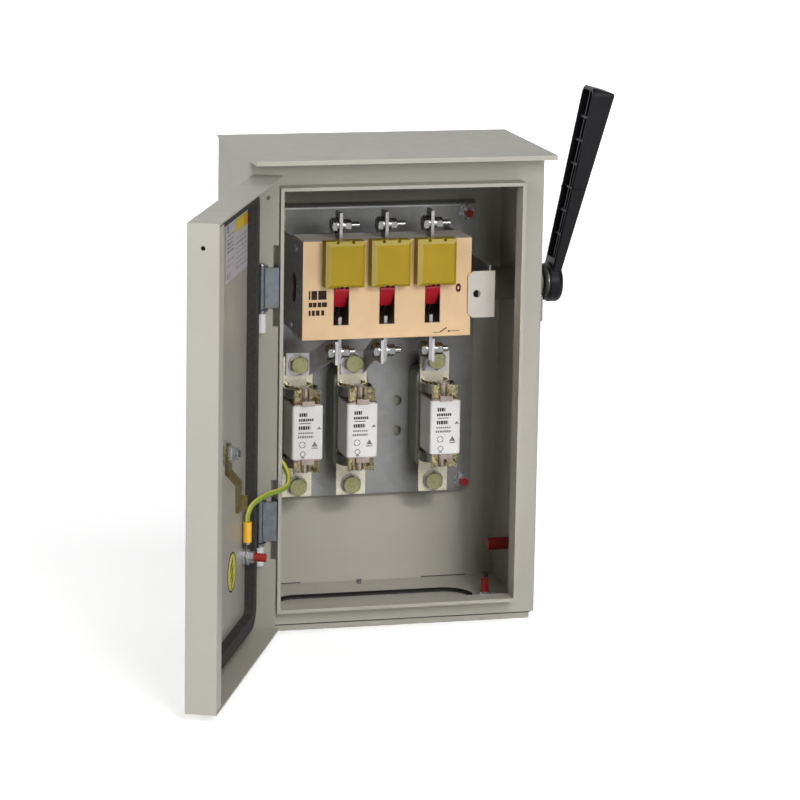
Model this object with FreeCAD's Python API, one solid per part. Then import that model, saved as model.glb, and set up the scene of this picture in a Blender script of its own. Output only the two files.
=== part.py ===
import FreeCAD, Part
import math
import os

# Switch fuse box for wall mounting, in millimetres.
# X points right, Y points back to the wall, Z points up. The origin is the centre of the
# wall hole pattern on the back face. Heights named _H are above the floor of the box.

# Enclosure
BOX_W = 280.0
BOX_D = 138.0
BOX_H = 440.0
SHEET = 1.5
BOX_BEND = 2.5
FLANGE_HINGE = 25.6
FLANGE_LATCH = 23.0
FLANGE_TOP = 26.0
FLANGE_BOTTOM = 15.5
RIM_OUT = 19.0
RIM_BACK = 20.0
RIM_W = 3.2
RIM_SHEET = 1.2
WALL_HOLE_R = 4.0
WALL_PITCH_X = 180.0
WALL_PITCH_Z = 220.0

# Rain roof
ROOF_OUT = 36.0
ROOF_SIDE = 1.0
ROOF_HEM = 3.0

# Gland plate under the floor
GLAND_LEN = 196.0
GLAND_DEPTH = 54.0
GLAND_Y = -72.0
GLAND_INSET = 4.0
GLAND_LIP = 5.8
GLAND_SEAL = 1.7
GLAND_SCREW_R = 2.5

# Door, modelled shut and then swung open on its pins
DOOR_GAP = 1.5
DOOR_DEPTH = 28.0
DOOR_LOW_H = 1.0
DOOR_HIGH_H = 426.0
DOOR_RETURN = 18.5
DOOR_OPEN = 113.85
DOOR_HINGE_CUT = 4.0
DOOR_HOLE_R = 2.0
DOOR_HOLE_H = 405.0
SEAL_W = 13.0
SEAL_GAP = 0.2
SEAL_CORNER = 20.0

# Hinges
PIN_IN = 7.7
PIN_FRONT = 18.4
PIN_R = 2.0
PIN_FIT = 0.06
KNUCKLE_R = 3.6
LEAF_T = 1.8
LEAF_H = 37.0
HINGE_HEIGHTS = (103.8, 322.5)
NOTCH_DEPTH = 5.0
NOTCH_LEAF_DEPTH = 10.5
NOTCH_OVER = 19.0
NOTCH_RISE = 2.0
EAR_T = 1.5
EAR_R = 5.2
EAR_GAP = 0.7
WEB_REACH = 1.2
BUSH_R = 4.4
BUSH_LEN = 18.0
COLLAR_R = 4.0
COLLAR_T = 2.2
PIN_HEAD_R = 3.4
PIN_HEAD_T = 2.6

# Latch
LATCH_X = 79.0
LATCH_H = 217.5
BARREL_R = 11.5
BARREL_IN = 21.3
BARREL_HEAD_R = 14.5
BARREL_HEAD_T = 3.0
CORE_R = 5.5
CORE_FIT = 0.08
LATCH_NUT_AF = 27.0
LATCH_NUT_T = 4.5
CAM_T = 3.0
CAM_W = 18.0
CAM_STEP = 9.0
CAM_BEND_START = 16.7
CAM_BEND_END = 26.7
CAM_LEN = 51.7
CAM_LIP = 5.0
CAM_LIP_LEN = 14.0
CAM_BOLT_AF = 10.0
CAM_BOLT_T = 5.5
CAM_WASHER_R = 8.0
CAM_WASHER_T = 1.6

# Earthing
STUD_R = 3.0
STUD_LEN = 21.0
FLOOR_STUD_LEN = 17.0
PLATE_STUD_LEN = 20.0
NUT_AF = 10.0
NUT_T = 4.5
WASHER_R = 7.6
WASHER_T = 1.2
CAP_R = 3.9
CAP_TOP = 1.2
WALL_CAP_R = 6.2
CAP_FIT = 0.05
CAP_GAP = 0.3
DOOR_STUD_X = -95.0
DOOR_STUD_H = 80.7
FLOOR_STUD_X = 106.0
FLOOR_STUD_Y = -85.6
WALL_STUD_Y = -55.0
WALL_STUD_H = 46.0
WIRE_STUD_Y = -52.0
WIRE_STUD_H = 168.0
WIRE_R = 2.4
LUG_T = 1.2
LUG_R = 6.0
SLEEVE_R = 4.0
SLEEVE_LEN = 18.6
LUG_REACH = 14.0
LUG_SEAT = 2.6

# Mounting plate
PLATE_W = 222.0
PLATE_LOW_H = 90.0
PLATE_HIGH_H = 375.0
PLATE_T = 2.0
PLATE_GAP = 6.5
PLATE_BEND = 5.0
PLATE_CORNER = 8.0
PLATE_STUD_X = 101.5
PLATE_STUD_LOW_H = 100.5
PLATE_STUD_HIGH_H = 364.0
SPACER_R = 6.5
PLATE_HOLE_X = 35.5
PLATE_HOLE_R = 5.0
PLATE_HOLE_HEIGHTS = (151.8, 181.4)

# Switch
SWITCH_X = 1.7
POLE_PITCH = 44.0
SWITCH_W = 162.0
SWITCH_FRONT = -95.0
SIDE_T = 2.0
SIDE_FOOT = 14.0
COVER_T = 2.0
COVER_LOW_H = 260.5
COVER_HIGH_H = 354.0
COVER_FLANGE = 42.0
SCREW_IN_HIGH = 23.5
SCREW_IN_LOW = 39.4
SCREW_DOWN = 10.4
SCREW_UP = 8.5
SLOT_W = 14.8
SLOT_LOW_H = 274.0
SLOT_HIGH_H = 345.0
CHUTE_W = 37.0
CHUTE_LOW_H = 312.0
CHUTE_HIGH_H = 355.5
CHUTE_OUT = 17.0
CHUTE_WALL = 1.8
CHUTE_BEVEL = 3.0
CHUTE_WIDE_BEVEL = 4.0
CHUTE_NOTCH_W = 3.0
CHUTE_NOTCH_DEEP = 2.0
ROTOR_Y = -78.0
ROTOR_H = 305.0
ROTOR_R = 5.0
ROTOR_FIT = 0.08
BLADE_OPEN = 40.0
BLADE_FRONT = 6.5
BLADE_REACH = 32.0
BLADE_W = 13.0
BLADE_T = 1.6
BLADE_FIT = 0.15
CARRIER_R = 9.5
CARRIER_NOSE = 14.5
CARRIER_UP = 16.0
CARRIER_W = 13.6
CONTACT_T = 3.0
CONTACT_FRONT = -93.0
CONTACT_DEPTH = 17.0
CONTACT_TOP_H = 379.5
CONTACT_BOTTOM_H = 237.0
CONTACT_LAP = 8.0
CONTACT_ARM = 12.0
BOARD_Y = -46.0
BOARD_T = 5.0
TOP_BOLT_H = 366.5
BOTTOM_BOLT_H = 246.5
BOLT_R = 3.0
BOLT_LEN = 22.0
BOLT_HEAD_AF = 13.0
BOLT_HEAD_T = 5.0
BOLT_WASHER_R = 7.2
BOLT_WASHER_T = 1.6
BOLT_SPRING_R = 5.2
BOLT_SPRING_T = 2.0
BOLT_NUT_T = 6.0

# Drive of the switch
SHAFT_Y = -55.0
SHAFT_H = 302.0
SHAFT_R = 6.0
SHAFT_FIT = 0.08
CRANK_R = 9.2
CRANK_T = 3.0
CRANK_PIN_R = 1.8
CRANK_SWING = 40.0
ARM_T = 3.0
ARM_SLOT_PLAY = 0.9
DRIVE_GAP = 1.0
BUSH_IN_R = 16.0
BUSH_IN_LEN = 30.0
BUSH_OUT_R = 13.0
BUSH_OUT_LEN = 22.7
LOCK_T = 1.5
LOCK_W = 16.0
LOCK_DROP = 38.0
LOCK_HOLE_R = 2.6
LOCK_HOLES = (22.0, 32.0)
DISC_R = 17.5
DISC_T = 2.6
SHIM_R = 12.5
SHIM_T = 2.8
BRACKET_X = 100.0
BRACKET_T = 2.0
BRACKET_LOW_H = 277.0
BRACKET_HIGH_H = 327.0
TAB_LEFT = 79.4
TAB_RIGHT = 105.5
TAB_LOW_H = 278.0
TAB_HIGH_H = 322.0
TAB_T = 2.0
TAB_FRONT = -99.5
TAB_CORNER = 4.5
TAB_HOLE_R = 3.6
TAB_HOLE_X = 88.0
TAB_HOLE_H = 300.5

# Lever
HUB_R = 19.0
HUB_T = 12.0
HUB_ROUND = 5.0
HUB_RECESS = 6.2
HUB_RECESS_R = 9.5
LEVER_LEN = 187.0
LEVER_TOP_W = 37.0
LEVER_FOOT_W = 29.0
LEVER_INNER_TOP = 36.0
LEVER_FOOT_T = 9.0
LEVER_TOP_T = 22.5
LEVER_TOP_DROP = 6.0
LEVER_CORNER = 8.0
LEVER_WALL = 2.6
RIB_INSET = 2.5
LEVER_RIBS = 6
LEVER_NUB_H = 88.0
LEVER_NUB_OUT = 2.4
LEVER_NUB_RISE = 2.2

# Fuses
FUSE_CENTRES = (-70.2, -17.2, 64.0)
FUSE_H = 170.0
BASE_W = 34.0
BASE_LEN = 98.0
BASE_DEPTH = 30.0
BASE_ROUND = 10.0
PAD_W = 28.5
PAD_T = 2.5
PAD_LEN = 25.0
PAD_LOW_LEN = 32.0
FUSE_BOLT_RISE = 57.5
FUSE_BOLT_DROP = 61.2
FUSE_BOLT_AF = 16.0
FUSE_BOLT_T = 5.5
FUSE_WASHER_R = 10.0
FUSE_W = 30.0
FUSE_LEN = 51.0
FUSE_DEPTH = 39.0
FUSE_FRONT = -85.0
END_T = 1.6
KNIFE_T = 6.0
KNIFE_DEPTH = 15.0
KNIFE_LEN = 13.5
KNIFE_BACK = 16.0
KNIFE_EDGE = 1.8
JAW_T = 1.6
JAW_FIT = 0.1
JAW_LEN = 12.0
JAW_FLARE = 8.5
JAW_FOOT = 9.0
JAW_BULGE = 12.5
SPRING_BULGE = 15.8
CLIP_T = 1.2
STRAP_T = 2.5
STRAP_W = 22.0

# Places that follow from the sizes above
FLOOR = -BOX_H / 2
LEFT = -BOX_W / 2
RIGHT = BOX_W / 2
FRONT = -BOX_D
RIM_FRONT = FRONT - RIM_OUT
RIM_LEFT = LEFT + FLANGE_HINGE
RIM_RIGHT = RIGHT - FLANGE_LATCH
RIM_TOP = BOX_H - FLANGE_TOP
RIM_BOTTOM = FLANGE_BOTTOM
DOOR_EDGE = FRONT - DOOR_GAP
DOOR_FACE = DOOR_EDGE - DOOR_DEPTH
DOOR_INNER = DOOR_FACE + SHEET
PIN_X = LEFT + PIN_IN
PIN_Y = DOOR_EDGE - PIN_FRONT
PLATE_BACK = -SHEET - PLATE_GAP
PLATE_FRONT = PLATE_BACK - PLATE_T
SWITCH_LEFT = SWITCH_X - SWITCH_W / 2
SWITCH_RIGHT = SWITCH_X + SWITCH_W / 2
POLES = tuple(SWITCH_X + i * POLE_PITCH for i in (-1, 0, 1))
COVER_FRONT = SWITCH_FRONT - COVER_T
CHUTE_FRONT = COVER_FRONT - CHUTE_OUT
BOLT_Y = CONTACT_FRONT + CONTACT_DEPTH / 2
BASE_FRONT = PLATE_FRONT - BASE_DEPTH
PAD_FRONT = BASE_FRONT - PAD_T
KNIFE_Y = FUSE_FRONT + FUSE_DEPTH - KNIFE_BACK - KNIFE_DEPTH / 2
CAM_Y = DOOR_INNER + BARREL_IN
LEAF_Y = PIN_Y + KNUCKLE_R - LEAF_T / 2
DOOR_HINGE_EDGE = DOOR_EDGE - DOOR_HINGE_CUT
X_AXIS = (1, 0, 0)
Y_AXIS = (0, 1, 0)
Z_AXIS = (0, 0, 1)


def at(height):
    return FLOOR + height


def vec(x, y, z):
    return FreeCAD.Vector(x, y, z)


def box(x0, x1, y0, y1, z0, z1):
    return Part.makeBox(x1 - x0, y1 - y0, z1 - z0, vec(x0, y0, z0))


def rod(x, y, z, axis, radius, length):
    return Part.makeCylinder(radius, length, vec(x, y, z), vec(*axis))


def ring(x, y, z, axis, outer, inner, length):
    return rod(x, y, z, axis, outer, length).cut(rod(x, y, z, axis, inner, length))


def prism(points, push):
    loop = [vec(*p) for p in points]
    face = Part.Face(Part.makePolygon(loop + loop[:1]))
    return face.extrude(vec(*push))


def hexagon(x, y, z, axis, across, length, turn=0.0):
    reach = across / math.sqrt(3)
    points = []
    for i in range(6):
        a = math.radians(60 * i + turn)
        u, v = reach * math.cos(a), reach * math.sin(a)
        if axis == X_AXIS:
            points.append((x, y + u, z + v))
        elif axis == Y_AXIS:
            points.append((x + u, y, z + v))
        else:
            points.append((x + u, y + v, z))
    return prism(points, tuple(length * c for c in axis))


def bolt_head(x, y, z, axis, across, length, way):
    """A hexagon whose corners are turned round on the free face, at the end that way points to."""
    block = hexagon(x, y, z, axis, across, length, 30)
    bevel = across * 0.09
    drum = rod(x, y, z, axis, across / math.sqrt(3) + 0.01, length)
    base = vec(x, y, z).dot(vec(*axis))
    end = base + (length if way > 0 else 0)
    rim = [e for e in drum.Edges if len(e.Vertexes) == 1
           and abs(e.CenterOfMass.dot(vec(*axis)) - end) < 0.01]
    return block.common(drum.makeChamfer(bevel, rim))


def ribbon(path, thick, z0, z1):
    """A bent strip: a smooth line through the path, thickened both ways and pushed up."""
    sides = []
    for way in (-1, 1):
        points = []
        for i, (x, y) in enumerate(path):
            before, after = path[max(i - 1, 0)], path[min(i + 1, len(path) - 1)]
            dx, dy = after[0] - before[0], after[1] - before[1]
            size = math.hypot(dx, dy)
            points.append(vec(x - way * dy / size * thick / 2, y + way * dx / size * thick / 2, z0))
        sides.append(points)
    edges = []
    for points in sides:
        curve = Part.BSplineCurve()
        curve.interpolate(points)
        edges.append(curve.toShape())
    edges.append(Part.makeLine(sides[0][0], sides[1][0]))
    edges.append(Part.makeLine(sides[0][-1], sides[1][-1]))
    return Part.Face(Part.Wire(Part.__sortEdges__(edges))).extrude(vec(0, 0, z1 - z0))


def join(shapes):
    shapes = list(shapes)
    return shapes[0].fuse(shapes[1:]).removeSplitter() if len(shapes) > 1 else shapes[0]


def cut_all(shape, tools):
    return shape.cut(list(tools))


def soften(shape, radius, pick):
    edges = [e for e in shape.Edges if pick(e)]
    return shape.makeFillet(radius, edges) if edges else shape


def runs_along(edge, axis):
    if len(edge.Vertexes) != 2:
        return False
    step = edge.Vertexes[1].Point.sub(edge.Vertexes[0].Point)
    return abs(abs(step.dot(vec(*axis))) - step.Length) < 1e-6


def rounded_box(x0, x1, y0, y1, z0, z1, axis, radius):
    return soften(box(x0, x1, y0, y1, z0, z1), radius, lambda e: runs_along(e, axis))


def swung(shape):
    turned = shape.copy()
    turned.rotate(vec(PIN_X, PIN_Y, 0), vec(0, 0, 1), -DOOR_OPEN)
    return turned


def save(name, shape):
    shapes = shape if isinstance(shape, list) else [shape]
    solids = [solid for item in shapes for solid in item.Solids]
    if len(solids) == 1:
        result = solids[0]
    else:
        result = Part.makeCompound(solids)
    result.exportStep("parts/" + name + ".step")


# Enclosure

def rim_block(inset, y0, y1):
    return box(RIM_LEFT + inset, RIM_RIGHT - inset, y0, y1,
               at(RIM_BOTTOM + inset), at(RIM_TOP - inset))


def gland_hole(extra, z0, z1):
    half = GLAND_LEN / 2 + extra
    deep = GLAND_DEPTH / 2 + extra
    return rounded_box(-half, half, GLAND_Y - deep, GLAND_Y + deep, z0, z1, Z_AXIS, deep * 0.98)


def enclosure_shell():
    outer = rounded_box(LEFT, RIGHT, FRONT, 0, FLOOR, at(BOX_H), Z_AXIS, BOX_BEND)
    inner = rounded_box(LEFT + SHEET, RIGHT - SHEET, FRONT + SHEET, -SHEET,
                        FLOOR + SHEET, at(BOX_H) - SHEET, Z_AXIS, BOX_BEND - SHEET)
    tray = outer.cut(inner).cut(rim_block(0, FRONT - SHEET, FRONT + 2 * SHEET))
    front_band = rim_block(0, RIM_FRONT, RIM_FRONT + RIM_SHEET)
    outer_wall = rim_block(0, RIM_FRONT, FRONT + SHEET).cut(rim_block(RIM_SHEET, RIM_FRONT, 0))
    inner_wall = rim_block(RIM_W - RIM_SHEET, RIM_FRONT, RIM_FRONT + RIM_BACK)
    rim = outer_wall.fuse([front_band, inner_wall])
    rim = rim.cut(rim_block(RIM_W, RIM_FRONT - SHEET, 0))
    shell = tray.fuse(rim).removeSplitter()
    tools = [gland_hole(0, FLOOR - SHEET, FLOOR + 2 * SHEET)]
    for x in (-WALL_PITCH_X / 2, WALL_PITCH_X / 2):
        for z in (-WALL_PITCH_Z / 2, WALL_PITCH_Z / 2):
            tools.append(rod(x, -2 * SHEET, z, Y_AXIS, WALL_HOLE_R, 3 * SHEET))
    tools.append(rod(RIGHT - 2 * SHEET, SHAFT_Y, at(SHAFT_H), X_AXIS,
                     BUSH_OUT_R + SHAFT_FIT, 3 * SHEET))
    for x, y in gland_screw_places():
        tools.append(rod(x, y, FLOOR - SHEET, Z_AXIS, GLAND_SCREW_R + SHAFT_FIT, 3 * SHEET))
    return cut_all(shell, tools)


def rain_roof():
    x0, x1 = LEFT - ROOF_SIDE, RIGHT + ROOF_SIDE
    y0 = FRONT - ROOF_OUT
    z0 = at(BOX_H)
    sheet = box(x0, x1, y0, 0, z0, z0 + SHEET)
    hem = box(x0, x1, y0, y0 + SHEET, z0 - ROOF_HEM, z0)
    sides = [box(x, x + SHEET, y0, FRONT - SHEET, z0 - ROOF_HEM, z0)
             for x in (x0, x1 - SHEET)]
    roof = join([sheet, hem] + sides)
    return soften(roof, SHEET * 0.6,
                  lambda e: runs_along(e, X_AXIS) and e.CenterOfMass.z > z0 + SHEET * 0.9
                  and e.CenterOfMass.y < y0 + SHEET)


def gland_screw_places():
    x = BOX_W / 2 - 3 * GLAND_INSET
    places = []
    for y in (FRONT + 3 * GLAND_INSET, -3 * GLAND_INSET):
        places += [(-x, y), (0, y), (x, y)]
    return places


def gland_gasket():
    edge = GLAND_INSET - 1.0
    seal = box(LEFT + edge, RIGHT - edge, FRONT + edge, -edge, FLOOR - GLAND_SEAL, FLOOR)
    hole = gland_hole(-2.0, FLOOR - 2 * GLAND_SEAL, FLOOR + 1)
    holes = [rod(x, y, FLOOR - 2 * GLAND_SEAL, Z_AXIS, GLAND_SCREW_R + SHAFT_FIT, 3 * GLAND_SEAL)
             for x, y in gland_screw_places()]
    return cut_all(seal, [hole] + holes)


def gland_plate():
    top = FLOOR - GLAND_SEAL
    inset = GLAND_INSET
    block = box(LEFT + inset, RIGHT - inset, FRONT + inset, -inset, top - GLAND_LIP, top)
    hollow = box(LEFT + inset + SHEET, RIGHT - inset - SHEET, FRONT + inset + SHEET,
                 -inset - SHEET, top - GLAND_LIP - 1, top - SHEET)
    holes = [rod(x, y, top - 2 * SHEET, Z_AXIS, GLAND_SCREW_R + SHAFT_FIT, 3 * SHEET)
             for x, y in gland_screw_places()]
    return cut_all(block, [hollow] + holes)


def gland_screws():
    under = FLOOR - GLAND_SEAL - SHEET
    screws = []
    for x, y in gland_screw_places():
        head = Part.makeCone(GLAND_SCREW_R * 1.3, GLAND_SCREW_R * 1.8, 2.4,
                             vec(x, y, under - 2.4), vec(0, 0, 1))
        shank = rod(x, y, under, Z_AXIS, GLAND_SCREW_R, SHEET * 2 + GLAND_SEAL + 4)
        screws.append(head.fuse(shank))
    return screws


# Door

def door_panel():
    x0, x1 = LEFT, RIGHT
    z0, z1 = at(DOOR_LOW_H), at(DOOR_HIGH_H)
    outer = rounded_box(x0, x1, DOOR_FACE, DOOR_EDGE, z0, z1, Z_AXIS, 1.2)
    inner = box(x0 + SHEET, x1 - SHEET, DOOR_INNER, DOOR_EDGE + 1, z0 + SHEET, z1 - SHEET)
    short = box(x0 - 1, x0 + SHEET, DOOR_HINGE_EDGE, DOOR_EDGE + 1, z0 - 1, z1 + 1)
    pan = outer.cut([inner, short])
    lip = box(x1 - DOOR_RETURN, x1 - SHEET, DOOR_EDGE - SHEET, DOOR_EDGE,
              z0 + 2 * SHEET, z1 - 2 * SHEET)
    pan = pan.fuse(lip).removeSplitter()
    hole_y = (DOOR_EDGE + DOOR_FACE) / 2
    tools = [rod(x0 - 1, hole_y, at(DOOR_HOLE_H), X_AXIS, DOOR_HOLE_R, BOX_W + 2)]
    for height in HINGE_HEIGHTS:
        half = LEAF_H / 2 + NOTCH_OVER
        middle = at(height + NOTCH_RISE)
        tools.append(box(x0 - 1, x0 + 2 * SHEET, DOOR_HINGE_EDGE - NOTCH_DEPTH, DOOR_EDGE + 1,
                         middle - half, middle + half))
        half = LEAF_H / 2 + EAR_GAP
        tools.append(box(x0 - 1, x0 + 2 * SHEET, DOOR_HINGE_EDGE - NOTCH_LEAF_DEPTH,
                         DOOR_EDGE + 1, at(height) - half, at(height) + half))
    tools.append(rod(LATCH_X, DOOR_FACE - 1, at(LATCH_H), Y_AXIS, BARREL_R + CORE_FIT, 4))
    return cut_all(pan, tools)


def door_gasket():
    half = SEAL_W / 2
    x0 = RIM_LEFT + RIM_W / 2 - half
    x1 = RIM_RIGHT - RIM_W / 2 + half
    z0 = at(RIM_BOTTOM + RIM_W / 2 - half)
    z1 = at(RIM_TOP - RIM_W / 2 + half)
    y1 = RIM_FRONT - SEAL_GAP
    outer = rounded_box(x0, x1, DOOR_INNER, y1, z0, z1, Y_AXIS, SEAL_CORNER)
    inner = rounded_box(x0 + SEAL_W, x1 - SEAL_W, DOOR_INNER - 1, y1 + 1, z0 + SEAL_W,
                        z1 - SEAL_W, Y_AXIS, SEAL_CORNER - SEAL_W)
    return outer.cut(inner)


def hinge_leaf(height):
    z0 = at(height) - LEAF_H / 2
    knuckle = rod(PIN_X, PIN_Y, z0, Z_AXIS, KNUCKLE_R, LEAF_H)
    half = LEAF_T / 2
    front = box(PIN_X, RIM_LEFT, LEAF_Y - half, LEAF_Y + half, z0, z0 + LEAF_H)
    back = box(RIM_LEFT - LEAF_T, RIM_LEFT, LEAF_Y - half, FRONT, z0, z0 + LEAF_H)
    leaf = join([knuckle, front, back])
    leaf = soften(leaf, LEAF_T * 0.8,
                  lambda e: runs_along(e, Z_AXIS) and e.CenterOfMass.x > RIM_LEFT - 0.01
                  and e.CenterOfMass.y < LEAF_Y)
    return leaf.cut(rod(PIN_X, PIN_Y, z0 - 1, Z_AXIS, PIN_R + PIN_FIT, LEAF_H + 2))


def ear(z):
    plate = box(LEFT + SHEET, PIN_X, PIN_Y - EAR_R, PIN_Y + EAR_R, z, z + EAR_T)
    tip = rod(PIN_X, PIN_Y, z, Z_AXIS, EAR_R, EAR_T)
    return plate.fuse(tip).cut(rod(PIN_X, PIN_Y, z - 1, Z_AXIS, PIN_R + PIN_FIT / 3, EAR_T + 2))


def door_bracket(height):
    low = at(height) - LEAF_H / 2 - EAR_GAP - EAR_T
    high = at(height) + LEAF_H / 2 + EAR_GAP
    web = box(LEFT + SHEET, LEFT + SHEET + EAR_T, PIN_Y - EAR_R, PIN_Y + WEB_REACH, low,
              high + EAR_T)
    return join([ear(low), ear(high), web])


def pin_foot(height):
    return at(height) - LEAF_H / 2 - EAR_GAP - EAR_T - COLLAR_T - BUSH_LEN


def hinge_pin(height):
    foot = pin_foot(height)
    top = at(height) + LEAF_H / 2 + EAR_GAP + EAR_T
    shank = rod(PIN_X, PIN_Y, foot + 2, Z_AXIS, PIN_R, top - foot - 2)
    head = rod(PIN_X, PIN_Y, top, Z_AXIS, PIN_HEAD_R, PIN_HEAD_T)
    head = soften(head, PIN_HEAD_T * 0.5,
                  lambda e: e.CenterOfMass.z > top + PIN_HEAD_T * 0.9 and len(e.Vertexes) == 1)
    collar = rod(PIN_X, PIN_Y, foot + BUSH_LEN, Z_AXIS, COLLAR_R, COLLAR_T)
    return join([shank, head, collar])


def hinge_bush(height):
    foot = pin_foot(height)
    body = rod(PIN_X, PIN_Y, foot, Z_AXIS, BUSH_R, BUSH_LEN)
    body = soften(body, 1.2, lambda e: e.CenterOfMass.z < foot + 0.1 and len(e.Vertexes) == 1)
    return body.cut(rod(PIN_X, PIN_Y, foot + 2, Z_AXIS, PIN_R + PIN_FIT / 3, BUSH_LEN))


# Latch

def latch_barrel():
    z = at(LATCH_H)
    head = rod(LATCH_X, DOOR_FACE - BARREL_HEAD_T, z, Y_AXIS, BARREL_HEAD_R, BARREL_HEAD_T)
    head = soften(head, 1.0, lambda e: e.CenterOfMass.y < DOOR_FACE - 2 and len(e.Vertexes) == 1)
    body = rod(LATCH_X, DOOR_FACE, z, Y_AXIS, BARREL_R, CAM_Y - DOOR_FACE)
    bore = rod(LATCH_X, DOOR_FACE - 5, z, Y_AXIS, CORE_R + CORE_FIT, BARREL_IN + 20)
    return head.fuse(body).cut(bore)


def latch_nut():
    z = at(LATCH_H)
    nut = hexagon(LATCH_X, DOOR_INNER, z, Y_AXIS, LATCH_NUT_AF, LATCH_NUT_T)
    return nut.cut(rod(LATCH_X, DOOR_INNER - 1, z, Y_AXIS, BARREL_R + CORE_FIT / 2, 8))


def latch_core():
    z = at(LATCH_H)
    face = DOOR_FACE - BARREL_HEAD_T + 0.8
    core = rod(LATCH_X, face, z, Y_AXIS, CORE_R, CAM_Y - face)
    slot = box(LATCH_X - 1.2, LATCH_X + 1.2, face - 1, face + 5, z - 4, z + 4)
    square = 4.0
    neck = box(LATCH_X - square, LATCH_X + square, CAM_Y, CAM_Y + CAM_T, z - square, z + square)
    tip = rod(LATCH_X, CAM_Y + CAM_T, z, Y_AXIS, STUD_R, CAM_WASHER_T + CAM_BOLT_T + 1.5)
    return core.cut(slot).fuse([neck, tip])


def cam_lever():
    z = at(LATCH_H)
    y = CAM_Y
    half = CAM_T / 2
    mid0, mid1 = y + half, y + half + CAM_STEP
    slope = math.atan2(CAM_STEP, CAM_BEND_END - CAM_BEND_START)
    shift = half * math.tan(slope / 2)
    side = [(y, z + CAM_W / 2), (y + CAM_T, z + CAM_W / 2),
            (y + CAM_T, z - CAM_BEND_START + shift), (mid1 + half, z - CAM_BEND_END + shift),
            (mid1 + half, z - CAM_LEN), (mid1 - half, z - CAM_LEN),
            (mid1 - half, z - CAM_BEND_END - shift), (y, z - CAM_BEND_START - shift)]
    strip = prism([(LATCH_X - CAM_W / 2, p[0], p[1]) for p in side], (CAM_W, 0, 0))
    outline = [rod(LATCH_X, y - 1, z, Y_AXIS, CAM_W / 2, CAM_STEP + 8)]
    tip_half = CAM_W * 0.32
    outline.append(prism([(LATCH_X - CAM_W / 2, y - 1, z), (LATCH_X + CAM_W / 2, y - 1, z),
                          (LATCH_X + tip_half, y - 1, z - CAM_LEN),
                          (LATCH_X - tip_half, y - 1, z - CAM_LEN)], (0, CAM_STEP + 8, 0)))
    lever = strip.common(join(outline))
    lip_x = LATCH_X - tip_half
    lip = box(lip_x, lip_x + CAM_T * 0.6, mid1, mid1 + half + CAM_LIP, z - CAM_LEN,
              z - CAM_LEN + CAM_LIP_LEN)
    lever = lever.fuse(lip).removeSplitter()
    square = 4.0 + CORE_FIT
    hole = box(LATCH_X - square, LATCH_X + square, y - 1, y + CAM_T + 1, z - square, z + square)
    return lever.cut(hole)


def cam_bolt():
    z = at(LATCH_H)
    y = CAM_Y + CAM_T
    washer = rod(LATCH_X, y, z, Y_AXIS, CAM_WASHER_R, CAM_WASHER_T)
    nut = hexagon(LATCH_X, y + CAM_WASHER_T, z, Y_AXIS, CAM_BOLT_AF, CAM_BOLT_T)
    bore = rod(LATCH_X, y - 1, z, Y_AXIS, STUD_R + CORE_FIT / 2, 12)
    return washer.fuse(nut).cut(bore)


# Studs, caps and the earth wire

def stud(x, y, z, axis, length=STUD_LEN):
    return rod(x, y, z, axis, STUD_R, length)


def stacked(x, y, z, axis, start):
    a = tuple(c * start for c in axis)
    b = tuple(c * (start + WASHER_T) for c in axis)
    return (x + a[0], y + a[1], z + a[2]), (x + b[0], y + b[1], z + b[2])


def nut_set(x, y, z, axis, start):
    low, high = stacked(x, y, z, axis, start)
    flat = tuple(abs(c) for c in axis)
    washer = rod(*low, axis, WASHER_R, WASHER_T)
    signed = 1 if sum(axis) > 0 else -1
    base = tuple(h + (0 if signed > 0 else -NUT_T) * f for h, f in zip(high, flat))
    nut = hexagon(*base, flat, NUT_AF, NUT_T)
    bore = rod(x, y, z, axis, STUD_R + CAP_FIT, STUD_LEN + 2)
    return [washer.cut(bore), nut.cut(bore)]


def lug_nuts(x, y, z, axis):
    start = lug_plane() + LUG_T / 2
    bore = rod(x, y, z, axis, STUD_R + CAP_FIT, STUD_LEN)
    collar = rod(x, y, z, axis, WASHER_R, WASHER_T + LUG_SEAT)
    return [collar.cut(bore)] + nut_set(x, y, z, axis, start)


def cap(x, y, z, axis, seat, length=STUD_LEN, radius=CAP_R):
    low, _ = stacked(x, y, z, axis, seat + CAP_GAP)
    body = rod(*low, axis, radius, length + CAP_TOP - seat - CAP_GAP)
    return body.cut(rod(x, y, z, axis, STUD_R + CAP_FIT, length + CAP_FIT))


def nut_top(seat=0.0):
    return seat + WASHER_T + NUT_T


def door_stud_place():
    return DOOR_STUD_X, DOOR_INNER, at(DOOR_STUD_H)


def lug_plane():
    return WASHER_T + LUG_SEAT + LUG_T / 2


def earth_lug(x, y, z):
    y0 = y + lug_plane()
    eye = rod(x, y0 - LUG_T / 2, z, Y_AXIS, LUG_R, LUG_T)
    tongue = box(x - 3.2, x + 3.2, y0 - LUG_T / 2, y0 + LUG_T / 2, z, z + LUG_REACH)
    barrel = rod(x, y0, z + LUG_REACH - 2, Z_AXIS, WIRE_R + 0.8, 2)
    bore = rod(x, y - 1, z, Y_AXIS, STUD_R + CAP_FIT, 12)
    return join([eye, tongue, barrel]).cut(bore)


def lug_sleeve(x, y, z):
    return rod(x, y + lug_plane(), z + LUG_REACH, Z_AXIS, SLEEVE_R, SLEEVE_LEN)


def onto_wire_stud(shape):
    turned = shape.copy()
    turned.rotate(vec(0, 0, 0), vec(0, 0, 1), -90)
    turned.rotate(vec(0, 0, 0), vec(1, 0, 0), 90)
    turned.translate(vec(LEFT + SHEET, WIRE_STUD_Y, at(WIRE_STUD_H)))
    return turned


def floor_stud():
    return FLOOR_STUD_X, FLOOR_STUD_Y, FLOOR + SHEET, Z_AXIS


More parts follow.
